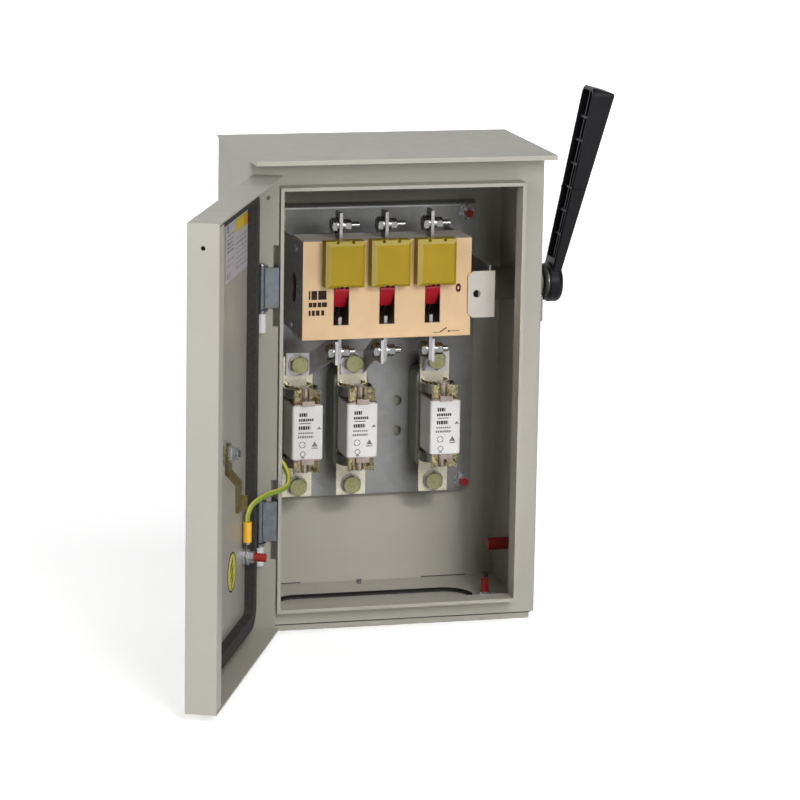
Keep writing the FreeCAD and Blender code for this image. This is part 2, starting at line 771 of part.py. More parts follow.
def wall_stud():
    return RIGHT - SHEET, WALL_STUD_Y, at(WALL_STUD_H), (-1, 0, 0)


def wire_stud():
    return LEFT + SHEET, WIRE_STUD_Y, at(WIRE_STUD_H), X_AXIS


# Mounting plate

def plate_stud_places():
    return [(x, z) for x in (-PLATE_STUD_X, PLATE_STUD_X)
            for z in (at(PLATE_STUD_LOW_H), at(PLATE_STUD_HIGH_H))]


def mounting_plate():
    half = PLATE_W / 2
    top = at(PLATE_HIGH_H)
    sheet = box(-half, half, PLATE_FRONT, PLATE_BACK, at(PLATE_LOW_H), top)
    fold = box(-half, half, PLATE_FRONT, -SHEET - 0.5, top - PLATE_T, top)
    plate = join([sheet, fold])
    plate = soften(plate, PLATE_BEND,
                   lambda e: runs_along(e, X_AXIS) and e.CenterOfMass.z > top - 0.01
                   and e.CenterOfMass.y < PLATE_FRONT + 0.01)
    plate = soften(plate, PLATE_CORNER,
                   lambda e: runs_along(e, Y_AXIS) and e.CenterOfMass.z < at(PLATE_LOW_H) + 0.01)
    tools = [rod(x, PLATE_FRONT - 1, z, Y_AXIS, STUD_R + CAP_FIT, PLATE_T + 2)
             for x, z in plate_stud_places()]
    tools += [rod(PLATE_HOLE_X, PLATE_FRONT - 1, at(h), Y_AXIS, PLATE_HOLE_R, PLATE_T + 2)
              for h in PLATE_HOLE_HEIGHTS]
    return cut_all(plate, tools)


def plate_studs():
    studs = []
    for x, z in plate_stud_places():
        spacer = rod(x, PLATE_BACK, z, Y_AXIS, SPACER_R, PLATE_GAP)
        shank = rod(x, -SHEET - PLATE_STUD_LEN, z, Y_AXIS, STUD_R, PLATE_STUD_LEN)
        studs.append(spacer.fuse(shank))
    return studs


def plate_nuts():
    parts = []
    for x, z in plate_stud_places():
        parts += nut_set(x, -SHEET, z, (0, -1, 0), PLATE_GAP + PLATE_T)
    return parts


# Switch

def side_plate(x, foot_side):
    z0, z1 = at(COVER_LOW_H) + COVER_T, at(COVER_HIGH_H) - COVER_T
    plate = box(x, x + SIDE_T, SWITCH_FRONT, PLATE_FRONT, z0, z1)
    x0, x1 = (x - SIDE_FOOT, x + SIDE_T) if foot_side < 0 else (x, x + SIDE_T + SIDE_FOOT)
    foot = box(x0, x1, PLATE_FRONT - SIDE_T, PLATE_FRONT, z0, z1)
    plate = join([plate, foot])
    bore = rod(x - 1, ROTOR_Y, at(ROTOR_H), X_AXIS, ROTOR_R + ROTOR_FIT, SIDE_T + 2)
    return plate.cut(bore)


def switch_side_left():
    plate = side_plate(SWITCH_LEFT, -1)
    window = rounded_box(SWITCH_LEFT - 1, SWITCH_LEFT + SIDE_T + 1, ROTOR_Y + 8, ROTOR_Y + 26,
                         at(ROTOR_H) - 14, at(ROTOR_H) + 14, X_AXIS, 8.9)
    return plate.cut(window)


def switch_screws():
    screws = []
    for x, way in ((SWITCH_LEFT, -1), (SWITCH_RIGHT, 1)):
        for y, h in ((SWITCH_FRONT + SCREW_IN_HIGH, COVER_HIGH_H - SCREW_DOWN),
                     (SWITCH_FRONT + SCREW_IN_LOW, COVER_LOW_H + SCREW_UP)):
            head = rod(x, y, at(h), (way, 0, 0), 3.4, 2.4)
            screws.append(soften(head, 1.0, lambda e: len(e.Vertexes) == 1
                                 and abs(e.CenterOfMass.x - x) > 1))
        for h in (COVER_LOW_H + 12, COVER_HIGH_H - 12):
            foot_x = x + way * (SIDE_FOOT / 2)
            head = rod(foot_x, PLATE_FRONT - SIDE_T - 2.6, at(h), Y_AXIS, 3.8, 2.6)
            screws.append(head)
    return screws


def contact_board():
    z0 = at(COVER_LOW_H) + COVER_T
    z1 = at(COVER_HIGH_H) - COVER_T
    return box(SWITCH_LEFT + SIDE_T, SWITCH_RIGHT - SIDE_T, BOARD_Y, BOARD_Y + BOARD_T, z0, z1)


def switch_cover():
    z0, z1 = at(COVER_LOW_H), at(COVER_HIGH_H)
    front = box(SWITCH_LEFT, SWITCH_RIGHT, COVER_FRONT, SWITCH_FRONT, z0, z1)
    back = COVER_FRONT + COVER_FLANGE
    top = box(SWITCH_LEFT, SWITCH_RIGHT, COVER_FRONT, back, z1 - COVER_T, z1)
    bottom = box(SWITCH_LEFT, SWITCH_RIGHT, COVER_FRONT, back, z0, z0 + COVER_T)
    cover = join([front, top, bottom])
    cover = soften(cover, 1.0, lambda e: runs_along(e, X_AXIS)
                   and e.CenterOfMass.y < COVER_FRONT + 0.01)
    tools = []
    for x in POLES:
        tools.append(box(x - SLOT_W / 2, x + SLOT_W / 2, COVER_FRONT - 1, SWITCH_FRONT + 0.5,
                         at(SLOT_LOW_H), at(SLOT_HIGH_H)))
        gap = CONTACT_T / 2 + 0.4
        for z in (z1 - COVER_T - 1, z0 - 1):
            tools.append(box(x - gap, x + gap, CONTACT_FRONT - 0.4,
                             CONTACT_FRONT + CONTACT_DEPTH + 0.4, z, z + COVER_T + 2))
    return cut_all(cover, tools)


def arc_chute(x):
    half = CHUTE_W / 2
    z0, z1 = at(CHUTE_LOW_H), at(CHUTE_HIGH_H)
    block = box(x - half, x + half, CHUTE_FRONT, COVER_FRONT, z0, z1)
    for size, pick in ((CHUTE_WIDE_BEVEL, lambda c: c.x < x - half + 1 or c.z > z1 - 1),
                       (CHUTE_BEVEL, lambda c: c.x > x + half - 1 or c.z < z0 + 1)):
        block = block.makeChamfer(size, [e for e in block.Edges if pick(e.CenterOfMass)
                                         and e.CenterOfMass.y < CHUTE_FRONT + 0.01])
    notches = [box(x + off - CHUTE_NOTCH_W / 2, x + off + CHUTE_NOTCH_W / 2, CHUTE_FRONT - 1,
                   COVER_FRONT - CHUTE_OUT / 2, z1 - CHUTE_NOTCH_DEEP, z1 + 1)
               for off in (-POLE_PITCH / 6, POLE_PITCH / 6)]
    block = block.cut(notches)
    hollow = box(x - SLOT_W / 2, x + SLOT_W / 2, CHUTE_FRONT + CHUTE_WALL, COVER_FRONT + 1,
                 z0 - 1, at(SLOT_HIGH_H))
    return block.cut(hollow)


def fixed_contact(x, top):
    half = CONTACT_T / 2
    back = CONTACT_FRONT + CONTACT_DEPTH
    if top:
        tip = at(ROTOR_H) + BLADE_REACH - CONTACT_LAP
        end = at(CONTACT_TOP_H)
        arm0 = tip + 4
        arm1 = arm0 + CONTACT_ARM
    else:
        tip = at(ROTOR_H) - BLADE_REACH + CONTACT_LAP
        end = at(CONTACT_BOTTOM_H)
        arm0 = tip - 4
        arm1 = arm0 - CONTACT_ARM
    side = [(CONTACT_FRONT, end), (back, end), (back, arm1), (BOARD_Y, arm1), (BOARD_Y, arm0),
            (back, arm0), (back, tip), (CONTACT_FRONT, tip)]
    strip = prism([(x - half, p[0], p[1]) for p in side], (CONTACT_T, 0, 0))
    foot = box(x + half, x + half + 10, BOARD_Y - 2.0, BOARD_Y, min(arm0, arm1),
               max(arm0, arm1))
    bolt_h = TOP_BOLT_H if top else BOTTOM_BOLT_H
    hole = rod(x - 5, BOLT_Y, at(bolt_h), X_AXIS, BOLT_R + 0.2, 12)
    return join([strip, foot]).cut(hole)


def terminal_bolt(x, z, lead):
    start = x - CONTACT_T / 2 - lead - BOLT_WASHER_T
    head = bolt_head(start - BOLT_HEAD_T, BOLT_Y, z, X_AXIS, BOLT_HEAD_AF, BOLT_HEAD_T, -1)
    shank = rod(start, BOLT_Y, z, X_AXIS, BOLT_R, BOLT_LEN)
    return head.fuse(shank)


def terminal_nut(x, z, lead, gap):
    under = x - CONTACT_T / 2 - lead - BOLT_WASHER_T
    over = x + CONTACT_T / 2 + gap
    bore = rod(under - 1, BOLT_Y, z, X_AXIS, BOLT_R + CAP_FIT, BOLT_LEN + 2)
    stack = []
    for start, radius, thick in ((under, BOLT_WASHER_R, BOLT_WASHER_T),
                                 (over, BOLT_WASHER_R, BOLT_WASHER_T),
                                 (over + BOLT_WASHER_T, BOLT_SPRING_R, BOLT_SPRING_T)):
        stack.append(rod(start, BOLT_Y, z, X_AXIS, radius, thick).cut(bore))
    nut = bolt_head(over + BOLT_WASHER_T + BOLT_SPRING_T, BOLT_Y, z, X_AXIS, NUT_AF, BOLT_NUT_T, 1)
    return stack + [nut.cut(bore)]


def opened_rotor(shape):
    turned = shape.copy()
    turned.rotate(vec(0, ROTOR_Y, at(ROTOR_H)), vec(1, 0, 0), BLADE_OPEN)
    return turned


def traverse():
    far = SWITCH_RIGHT + DRIVE_GAP + ARM_T
    bar = rod(SWITCH_LEFT, ROTOR_Y, at(ROTOR_H), X_AXIS, ROTOR_R, far - SWITCH_LEFT)
    return bar.fuse(slotted_arm()).removeSplitter()


def centre_line():
    dy = ROTOR_Y - SHAFT_Y
    dz = ROTOR_H - SHAFT_H
    return math.hypot(dy, dz), math.degrees(math.atan2(dz, dy))


def slotted_arm():
    span, _ = centre_line()
    reach = span - CRANK_R * 0.4
    x = SWITCH_RIGHT + DRIVE_GAP
    z = at(ROTOR_H)
    half = CRANK_PIN_R + ARM_SLOT_PLAY
    body = box(x, x + ARM_T, ROTOR_Y, ROTOR_Y + reach, z - half - 3, z + half + 3)
    body = body.fuse(rod(x, ROTOR_Y, z, X_AXIS, ROTOR_R + 3.5, ARM_T))
    slot = box(x - 1, x + ARM_T + 1, ROTOR_Y + ROTOR_R + 2, ROTOR_Y + reach + 1,
               z - half, z + half)
    arm = body.cut(slot)
    _, lean = centre_line()
    arm.rotate(vec(x, ROTOR_Y, z), vec(1, 0, 0), 180 + lean + BLADE_OPEN / 2)
    return arm


def blade_carrier(x):
    half = CARRIER_W / 2
    z = at(ROTOR_H)
    drum = rod(x - half, ROTOR_Y, z, X_AXIS, CARRIER_R, CARRIER_W)
    nose = box(x - half, x + half, ROTOR_Y - CARRIER_NOSE, ROTOR_Y, z - CARRIER_R, z + CARRIER_UP)
    body = soften(drum.fuse(nose).removeSplitter(), 1.5,
                  lambda e: runs_along(e, X_AXIS) and e.CenterOfMass.y < ROTOR_Y - CARRIER_NOSE + 1)
    slots = [blade_box(x, side, 0.0) for side in (-1, 1)]
    bore = rod(x - half - 1, ROTOR_Y, z, X_AXIS, ROTOR_R, CARRIER_W + 2)
    return cut_all(body, slots + [bore])


def blade_box(x, side, trim):
    inner = CONTACT_T / 2 + BLADE_FIT
    x0 = x + side * inner if side > 0 else x - inner - BLADE_T
    y = ROTOR_Y - BLADE_FRONT
    return box(x0 + trim, x0 + BLADE_T - trim, y - BLADE_W / 2, y + BLADE_W / 2,
               at(ROTOR_H) - BLADE_REACH, at(ROTOR_H) + BLADE_REACH)


def moving_blade(x, side):
    blade = blade_box(x, side, 0.0)
    blade = soften(blade, BLADE_W * 0.3, lambda e: runs_along(e, X_AXIS))
    notch = rod(x - 10, ROTOR_Y, at(ROTOR_H), X_AXIS, ROTOR_R, 20)
    return blade.cut(notch)


# Drive from the lever

def drive_shaft():
    x0 = SWITCH_RIGHT + DRIVE_GAP + ARM_T + 0.6
    end = hub_start() + HUB_T - HUB_RECESS
    z = at(SHAFT_H)
    shaft = rod(x0, SHAFT_Y, z, X_AXIS, SHAFT_R, end - x0)
    arm = box(x0, x0 + CRANK_T, SHAFT_Y, SHAFT_Y + CRANK_R, z - 4, z + 4)
    tip = rod(x0, SHAFT_Y + CRANK_R, z, X_AXIS, 4, CRANK_T)
    pin = rod(x0 - ARM_T - 0.4, SHAFT_Y + CRANK_R, z, X_AXIS, CRANK_PIN_R, ARM_T + 0.4)
    crank = join([arm, tip, pin])
    _, lean = centre_line()
    crank.rotate(vec(x0, SHAFT_Y, z), vec(1, 0, 0), lean - CRANK_SWING)
    flat = box(end - (HUB_T - HUB_RECESS) * 0.8, end + 1, SHAFT_Y - SHAFT_R - 1, SHAFT_Y + SHAFT_R + 1,
               z + SHAFT_R - 1.5, z + SHAFT_R + 1)
    return join([shaft, crank]).cut(flat)


def bush_end():
    return RIGHT + BUSH_OUT_LEN


def hub_start():
    return bush_end() + LOCK_T + DISC_T + SHIM_T + 0.3


def bearing_bush():
    z = at(SHAFT_H)
    inside = rod(RIGHT - SHEET - BUSH_IN_LEN, SHAFT_Y, z, X_AXIS, BUSH_IN_R, BUSH_IN_LEN)
    outside = rod(RIGHT - SHEET, SHAFT_Y, z, X_AXIS, BUSH_OUT_R, BUSH_OUT_LEN + SHEET)
    bore = rod(0, SHAFT_Y, z, X_AXIS, SHAFT_R + SHAFT_FIT, BOX_W)
    return inside.fuse(outside).cut(bore)


def padlock_plate():
    x = bush_end()
    z = at(SHAFT_H)
    half = LOCK_W / 2
    plate = box(x, x + LOCK_T, SHAFT_Y - half, SHAFT_Y + half, z - LOCK_DROP, z)
    plate = soften(plate, 4.0, lambda e: runs_along(e, X_AXIS) and e.CenterOfMass.z < z - 1)
    plate = plate.fuse(rod(x, SHAFT_Y, z, X_AXIS, half, LOCK_T))
    tools = [rod(x - 1, SHAFT_Y, z - drop, X_AXIS, LOCK_HOLE_R, LOCK_T + 2)
             for drop in LOCK_HOLES]
    tools.append(rod(x - 1, SHAFT_Y, z, X_AXIS, SHAFT_R + SHAFT_FIT, LOCK_T + 2))
    return cut_all(plate, tools)


def shaft_seal():
    x = bush_end() + LOCK_T
    return ring(x, SHAFT_Y, at(SHAFT_H), X_AXIS, DISC_R, SHAFT_R + SHAFT_FIT, DISC_T)


def shaft_washer():
    x = bush_end() + LOCK_T + DISC_T
    return ring(x, SHAFT_Y, at(SHAFT_H), X_AXIS, SHIM_R, SHAFT_R + SHAFT_FIT, SHIM_T)


def drive_bracket():
    z0, z1 = at(BRACKET_LOW_H), at(BRACKET_HIGH_H)
    x0, x1 = BRACKET_X, BRACKET_X + BRACKET_T
    front = TAB_FRONT + TAB_T
    web = box(x0, x1, front, PLATE_FRONT, z0, z1)
    foot = box(x0, x1 + 8, PLATE_FRONT - BRACKET_T, PLATE_FRONT, z0, z1)
    lip = box(x0 - 10, x1, front, front + BRACKET_T, z0, at(TAB_HIGH_H))
    bracket = join([web, foot, lip])
    bore = rod(x0 - 1, SHAFT_Y, at(SHAFT_H), X_AXIS, SHAFT_R + SHAFT_FIT, BRACKET_T + 2)
    return bracket.cut(bore)


def interlock_plate():
    z0, z1 = at(TAB_LOW_H), at(TAB_HIGH_H)
    c = TAB_CORNER
    outline = [(TAB_LEFT + c, z0), (TAB_RIGHT, z0), (TAB_RIGHT, z1), (TAB_LEFT + c, z1),
               (TAB_LEFT, z1 - c), (TAB_LEFT, z0 + c)]
    plate = prism([(x, TAB_FRONT, z) for x, z in outline], (0, TAB_T, 0))
    return plate.cut(rod(TAB_HOLE_X, TAB_FRONT - 1, at(TAB_HOLE_H), Y_AXIS, TAB_HOLE_R, 4))


# Lever

def lever_lines():
    x0 = hub_start() + 1.0
    foot = (x0, SHAFT_H + HUB_R * 0.6)
    top = (x0 + LEVER_INNER_TOP, SHAFT_H + LEVER_LEN)
    return foot, top


def lever_block(inset):
    foot, top = lever_lines()
    rise = top[1] - foot[1]
    lean = (top[0] - foot[0]) / rise
    swell = (LEVER_TOP_T - LEVER_FOOT_T) / rise
    low = SHAFT_H - HUB_R * 0.5

    def edge(height, thick):
        x = foot[0] + lean * (height - foot[1])
        t = LEVER_FOOT_T + swell * (height - foot[1])
        return x + (t if thick else 0)

    ends = (low, top[1]) if not inset else (SHAFT_H + HUB_R + 5, top[1] - inset - 1)
    a, b = ends
    open_side = -20 if inset else 0
    drop = LEVER_TOP_DROP
    side = [(edge(a, False) + open_side, a), (edge(b, False) + open_side, b),
            (edge(b, False), b), (edge(b - drop, True) - inset, b - drop),
            (edge(a, True) - inset, a)]
    if not inset:
        side.pop(1)
    reach = LEVER_TOP_W
    profile = prism([(x, SHAFT_Y - reach, at(h)) for x, h in side], (0, 2 * reach, 0))
    half0 = LEVER_FOOT_W / 2 - inset
    half1 = LEVER_TOP_W / 2 - inset
    front = [(SHAFT_Y - half0, a), (SHAFT_Y + half0, a), (SHAFT_Y + half1, b),
             (SHAFT_Y - half1, b)]
    face = prism([(RIGHT, y, at(h)) for y, h in front], (BOX_W / 2, 0, 0))
    face = soften(face, LEVER_CORNER - inset, lambda e: runs_along(e, X_AXIS)
                  and e.CenterOfMass.z > at(b) - 1)
    return profile.common(face)


def handle_lever():
    foot, top = lever_lines()
    body = lever_block(0)
    body = soften(body, 2.0, lambda e: e.CenterOfMass.z > at(SHAFT_H + HUB_R + 10))
    pocket = lever_block(LEVER_WALL)
    ribs = []
    step = (LEVER_LEN - HUB_R - 12) / (LEVER_RIBS + 1)
    for i in range(1, LEVER_RIBS + 1):
        z = at(SHAFT_H + HUB_R + 5 + i * step)
        ribs.append(box(RIGHT, RIGHT + BOX_W / 2, SHAFT_Y - LEVER_TOP_W / 2,
                        SHAFT_Y + LEVER_TOP_W / 2, z - 1, z + 1))
    spine = box(RIGHT, RIGHT + BOX_W / 2, SHAFT_Y - 1.2, SHAFT_Y + 1.2,
                at(SHAFT_H + HUB_R), at(SHAFT_H + LEVER_LEN))
    slope = (top[0] - foot[0]) / (top[1] - foot[1])
    near = SHAFT_Y - LEVER_TOP_W
    face = foot[0] + RIB_INSET
    recess = prism([(RIGHT, near, at(foot[1])), (face, near, at(foot[1])),
                    (face + slope * LEVER_LEN, near, at(foot[1] + LEVER_LEN)),
                    (RIGHT, near, at(foot[1] + LEVER_LEN))], (0, 2 * LEVER_TOP_W, 0))
    web = join(ribs + [spine]).cut(recess)
    body = body.cut(pocket.cut(web))
    hub = rod(hub_start(), SHAFT_Y, at(SHAFT_H), X_AXIS, HUB_R, HUB_T)
    hub = soften(hub, HUB_ROUND, lambda e: len(e.Vertexes) == 1
                 and e.CenterOfMass.x > hub_start() + HUB_T - 0.1)
    x = foot[0] + slope * (SHAFT_H + LEVER_NUB_H - foot[1])
    width = LEVER_FOOT_W + (LEVER_TOP_W - LEVER_FOOT_W) * LEVER_NUB_H / LEVER_LEN
    low = at(SHAFT_H + LEVER_NUB_H) - LEVER_NUB_RISE
    high = at(SHAFT_H + LEVER_NUB_H) + LEVER_NUB_RISE
    nubs = [box(x + 1, x + 12, SHAFT_Y - width / 2 - LEVER_NUB_OUT,
                SHAFT_Y + width / 2 + LEVER_NUB_OUT, low, high)]
    nubs[0] = nubs[0].cut(box(x, x + 20, SHAFT_Y - width / 2 + 1, SHAFT_Y + width / 2 - 1,
                              low - 1, high + 1))
    lever = body.fuse([hub] + nubs).removeSplitter()
    bore = rod(RIGHT, SHAFT_Y, at(SHAFT_H), X_AXIS, SHAFT_R + SHAFT_FIT / 2, BOX_W / 2)
    under = box(RIGHT, hub_start(), SHAFT_Y - 40, SHAFT_Y + 40, at(0), at(BOX_H * 2))
    recess = rod(hub_start() + HUB_T - HUB_RECESS, SHAFT_Y, at(SHAFT_H), X_AXIS, HUB_RECESS_R,
                 HUB_RECESS + LEVER_TOP_T)
    return cut_all(lever, [bore, under, recess])


def handle_bolt():
    x = hub_start() + HUB_T - HUB_RECESS
    washer = rod(x, SHAFT_Y, at(SHAFT_H), X_AXIS, HUB_RECESS_R - 0.4, WASHER_T)
    head = bolt_head(x + WASHER_T, SHAFT_Y, at(SHAFT_H), X_AXIS, NUT_AF, NUT_T, 1)
    return washer.fuse(head)


# Fuses

def fuse_base(x):
    half = BASE_W / 2
    z0, z1 = at(FUSE_H) - BASE_LEN / 2, at(FUSE_H) + BASE_LEN / 2
    body = rounded_box(x - half, x + half, BASE_FRONT, PLATE_FRONT, z0, z1, Z_AXIS, 2.0)
    return soften(body, BASE_ROUND, lambda e: runs_along(e, X_AXIS)
                  and e.CenterOfMass.y < BASE_FRONT + 0.01)


def bolt_place(way):
    return at(FUSE_H) + (FUSE_BOLT_RISE if way > 0 else -FUSE_BOLT_DROP)


def jaw(x, way):
    z_in = at(FUSE_H) + way * (FUSE_LEN / 2 + END_T + 0.6)
    z_out = z_in + way * JAW_LEN
    z0, z1 = min(z_in, z_out), max(z_in, z_out)
    pad_end = z_out + way * (PAD_LEN if way > 0 else PAD_LOW_LEN)
    p0, p1 = min(z_in, pad_end), max(z_in, pad_end)
    pad = box(x - PAD_W / 2, x + PAD_W / 2, PAD_FRONT, BASE_FRONT, p0, p1)
    line = KNIFE_T / 2 + JAW_FIT + JAW_T / 2
    back, tip = KNIFE_Y + KNIFE_DEPTH / 2, KNIFE_Y - KNIFE_DEPTH / 2
    rise = PAD_FRONT - back
    parts = [pad]
    for side in (-1, 1):
        path = [(JAW_FOOT, PAD_FRONT + 0.5), (JAW_BULGE, PAD_FRONT - rise * 0.35),
                (JAW_BULGE - 2.5, PAD_FRONT - rise * 0.7), (line + 2.0, back + 2.0),
                (line + 0.5, back), (line, back - 2.5), (line, back - 5.0),
                (line, tip + 6.0), (line, tip + 4.0), (line + 0.5, tip + 1.8), (line + 2.0, tip),
                (line + JAW_FLARE, tip - JAW_FLARE * 0.6)]
        parts.append(ribbon([(x + side * u, y) for u, y in path], JAW_T, z0, z1))
    hole = rod(x, PAD_FRONT - 1, bolt_place(way), Y_AXIS, 4.2, PAD_T + 2)
    return join(parts).cut(hole)


def spring_clip(x, way):
    z_in = at(FUSE_H) + way * (FUSE_LEN / 2 + END_T + 2.0)
    z_out = z_in + way * (JAW_LEN - 3.0)
    z0, z1 = min(z_in, z_out), max(z_in, z_out)
    back, tip = KNIFE_Y + KNIFE_DEPTH / 2, KNIFE_Y - KNIFE_DEPTH / 2
    rise = PAD_FRONT - back
    line = KNIFE_T / 2 + JAW_FIT + JAW_T + CLIP_T / 2
    clips = []
    for side in (-1, 1):
        path = [(JAW_FOOT + JAW_T + 2.2, PAD_FRONT - CLIP_T / 2),
                (SPRING_BULGE, PAD_FRONT - rise * 0.45), (SPRING_BULGE - 1.5, back),
                (line + 5.5, back - 4.0), (line + 1.8, tip + 8.5), (line + 0.5, tip + 6.6),
                (line + 0.1, tip + 5.0), (line + 0.1, tip + 3.4)]
        clips.append(ribbon([(x + side * u, y) for u, y in path], CLIP_T, z0, z1))
    return clips


def fuse_bolt(x, way):
    z = bolt_place(way)
    y = PAD_FRONT - (STRAP_T if way > 0 else 0)
    washer = rod(x, y - 1.6, z, Y_AXIS, FUSE_WASHER_R, 1.6)
    head = bolt_head(x, y - 1.6 - FUSE_BOLT_T, z, Y_AXIS, FUSE_BOLT_AF, FUSE_BOLT_T, -1)
    shank = rod(x, y, z, Y_AXIS, 4.0, -y + BASE_FRONT - 0.5)
    return washer.fuse([head, shank])


def fuse_body(x):
    half = FUSE_W / 2
    z0, z1 = at(FUSE_H) - FUSE_LEN / 2, at(FUSE_H) + FUSE_LEN / 2
    return rounded_box(x - half, x + half, FUSE_FRONT, FUSE_FRONT + FUSE_DEPTH, z0, z1,
                       Z_AXIS, 2.5)


def fuse_ends(x):
    half = FUSE_W / 2 - 0.6
    shapes = []
    for way in (-1, 1):
        z0 = at(FUSE_H) + way * FUSE_LEN / 2
        low = min(z0, z0 + way * END_T)
        plate = rounded_box(x - half, x + half, FUSE_FRONT + 0.6, FUSE_FRONT + FUSE_DEPTH - 0.6,
                            low, low + END_T, Z_AXIS, 2.5)
        z1 = z0 + way * (END_T + KNIFE_LEN)
        knife = box(x - KNIFE_T / 2, x + KNIFE_T / 2, KNIFE_Y - KNIFE_DEPTH / 2,
                    KNIFE_Y + KNIFE_DEPTH / 2, min(z0, z1), max(z0, z1))
        knife = knife.makeChamfer(KNIFE_EDGE, [e for e in knife.Edges if runs_along(e, Z_AXIS)])
        lug = box(x - 6, x + 6, FUSE_FRONT - 2.4, FUSE_FRONT + 0.6, low, low + END_T)
        hook = box(x - 6, x + 6, FUSE_FRONT - 2.4, FUSE_FRONT - 1.2,
                   min(z0, z0 + way * 5), max(z0, z0 + way * 5))
        shapes.append(join([plate, knife, lug, hook]))
    return shapes


def strap(fuse_x, pole_x):
    side = 1 if fuse_x > pole_x else -1
    z0 = at(FUSE_H + FUSE_BOLT_RISE)
    z1 = at(BOTTOM_BOLT_H)
    y0 = PAD_FRONT - STRAP_T / 2
    end_x = pole_x + side * (CONTACT_T / 2 + STRAP_T / 2)
    route = [(fuse_x + side * 12, y0, z0), (fuse_x - side * 11, y0, z0),
             (end_x + side * 1.5, BOLT_Y + 20, z1 - 4), (end_x, BOLT_Y + 10, z1),
             (end_x, BOLT_Y - CONTACT_DEPTH / 2, z1)]
    wires = []
    for i, point in enumerate(route):
        before = route[max(i - 1, 0)]
        after = route[min(i + 1, len(route) - 1)]
        dx, dy = after[0] - before[0], after[1] - before[1]
        size = math.hypot(dx, dy)
        nx, ny = -dy / size * STRAP_T / 2, dx / size * STRAP_T / 2
        x, y, z = point
        h = STRAP_W / 2
        loop = [vec(x + nx, y + ny, z - h), vec(x - nx, y - ny, z - h),
                vec(x - nx, y - ny, z + h), vec(x + nx, y + ny, z + h)]
        wires.append(Part.makePolygon(loop + loop[:1]))
    bar = Part.makeLoft(wires, True, True)
    holes = [rod(fuse_x, y0 - 5, z0, Y_AXIS, 4.2, 10),
             rod(end_x - 5, BOLT_Y, z1, X_AXIS, BOLT_R + 0.2, 10)]
    return cut_all(bar, holes)


# Earth wire from the door to the left wall

def rim_point(inward, behind, above):
    """A point of the wire's way round the rim, from the box's left front edge and the wire stud."""
    return vec(LEFT + inward, FRONT + behind, at(WIRE_STUD_H + above))


def wire_route():
    x, y, z = door_stud_place()
    turn = FreeCAD.Rotation(vec(0, 0, 1), -DOOR_OPEN)
    base = vec(PIN_X, PIN_Y, 0)
    start = vec(x, y + lug_plane(), z + LUG_REACH + SLEEVE_LEN)
    start = base + turn.multVec(start - base)
    end = vec(LEFT + SHEET + lug_plane(), WIRE_STUD_Y - LUG_REACH - SLEEVE_LEN,
              at(WIRE_STUD_H))
    return [start, start + vec(0, 0, 4), start + vec(0.81, 0.52, 7.88),
            start + vec(2.39, 1.54, 11.41), start + vec(4.64, 2.98, 14.39),
            start + vec(7.42, 4.77, 16.62), start + vec(13.8, 8.8, 19.4),
            rim_point(12.5, -35, -33.6), rim_point(23.5, -29, -32.8),
            rim_point(32.7, -20.5, -31.8), rim_point(37.7, -9.5, -29.1),
            rim_point(39.5, 2.5, -23.5), rim_point(36, 13, -15),
            rim_point(27, 19.5, -7), rim_point(16.5, 26.5, -2),
            end + vec(3.6, -18, -0.3), end + vec(0, -9, 0), end]


def tube(points, radius):
    edges = []
    radii = []
    last = points[0]
    for i in range(1, len(points) - 1):
        here = points[i]
        back = points[i - 1] - here
        ahead = points[i + 1] - here
        turn = math.pi - back.getAngle(ahead)
        run = min(back.Length, ahead.Length)
        bend = 0.45 * run / math.tan(turn / 2)
        radii.append(round(bend, 1))
        tangent = 0.45 * run
        a = here + FreeCAD.Vector(back).normalize() * tangent
        b = here + FreeCAD.Vector(ahead).normalize() * tangent
        middle = (FreeCAD.Vector(back).normalize() + FreeCAD.Vector(ahead).normalize()).normalize()
        centre_gap = math.hypot(bend, tangent)
        edges.append(Part.LineSegment(last, a).toShape())
        edges.append(Part.Arc(a, here + middle * (centre_gap - bend), b).toShape())
        last = b
    edges.append(Part.LineSegment(last, points[-1]).toShape())
    path = Part.Wire(edges)
    print("bend radii", radii, "length", round(path.Length, 1))
    profile = Part.Wire(Part.makeCircle(radius, points[0], points[1] - points[0]))
    return path.makePipeShell([profile], True, False)


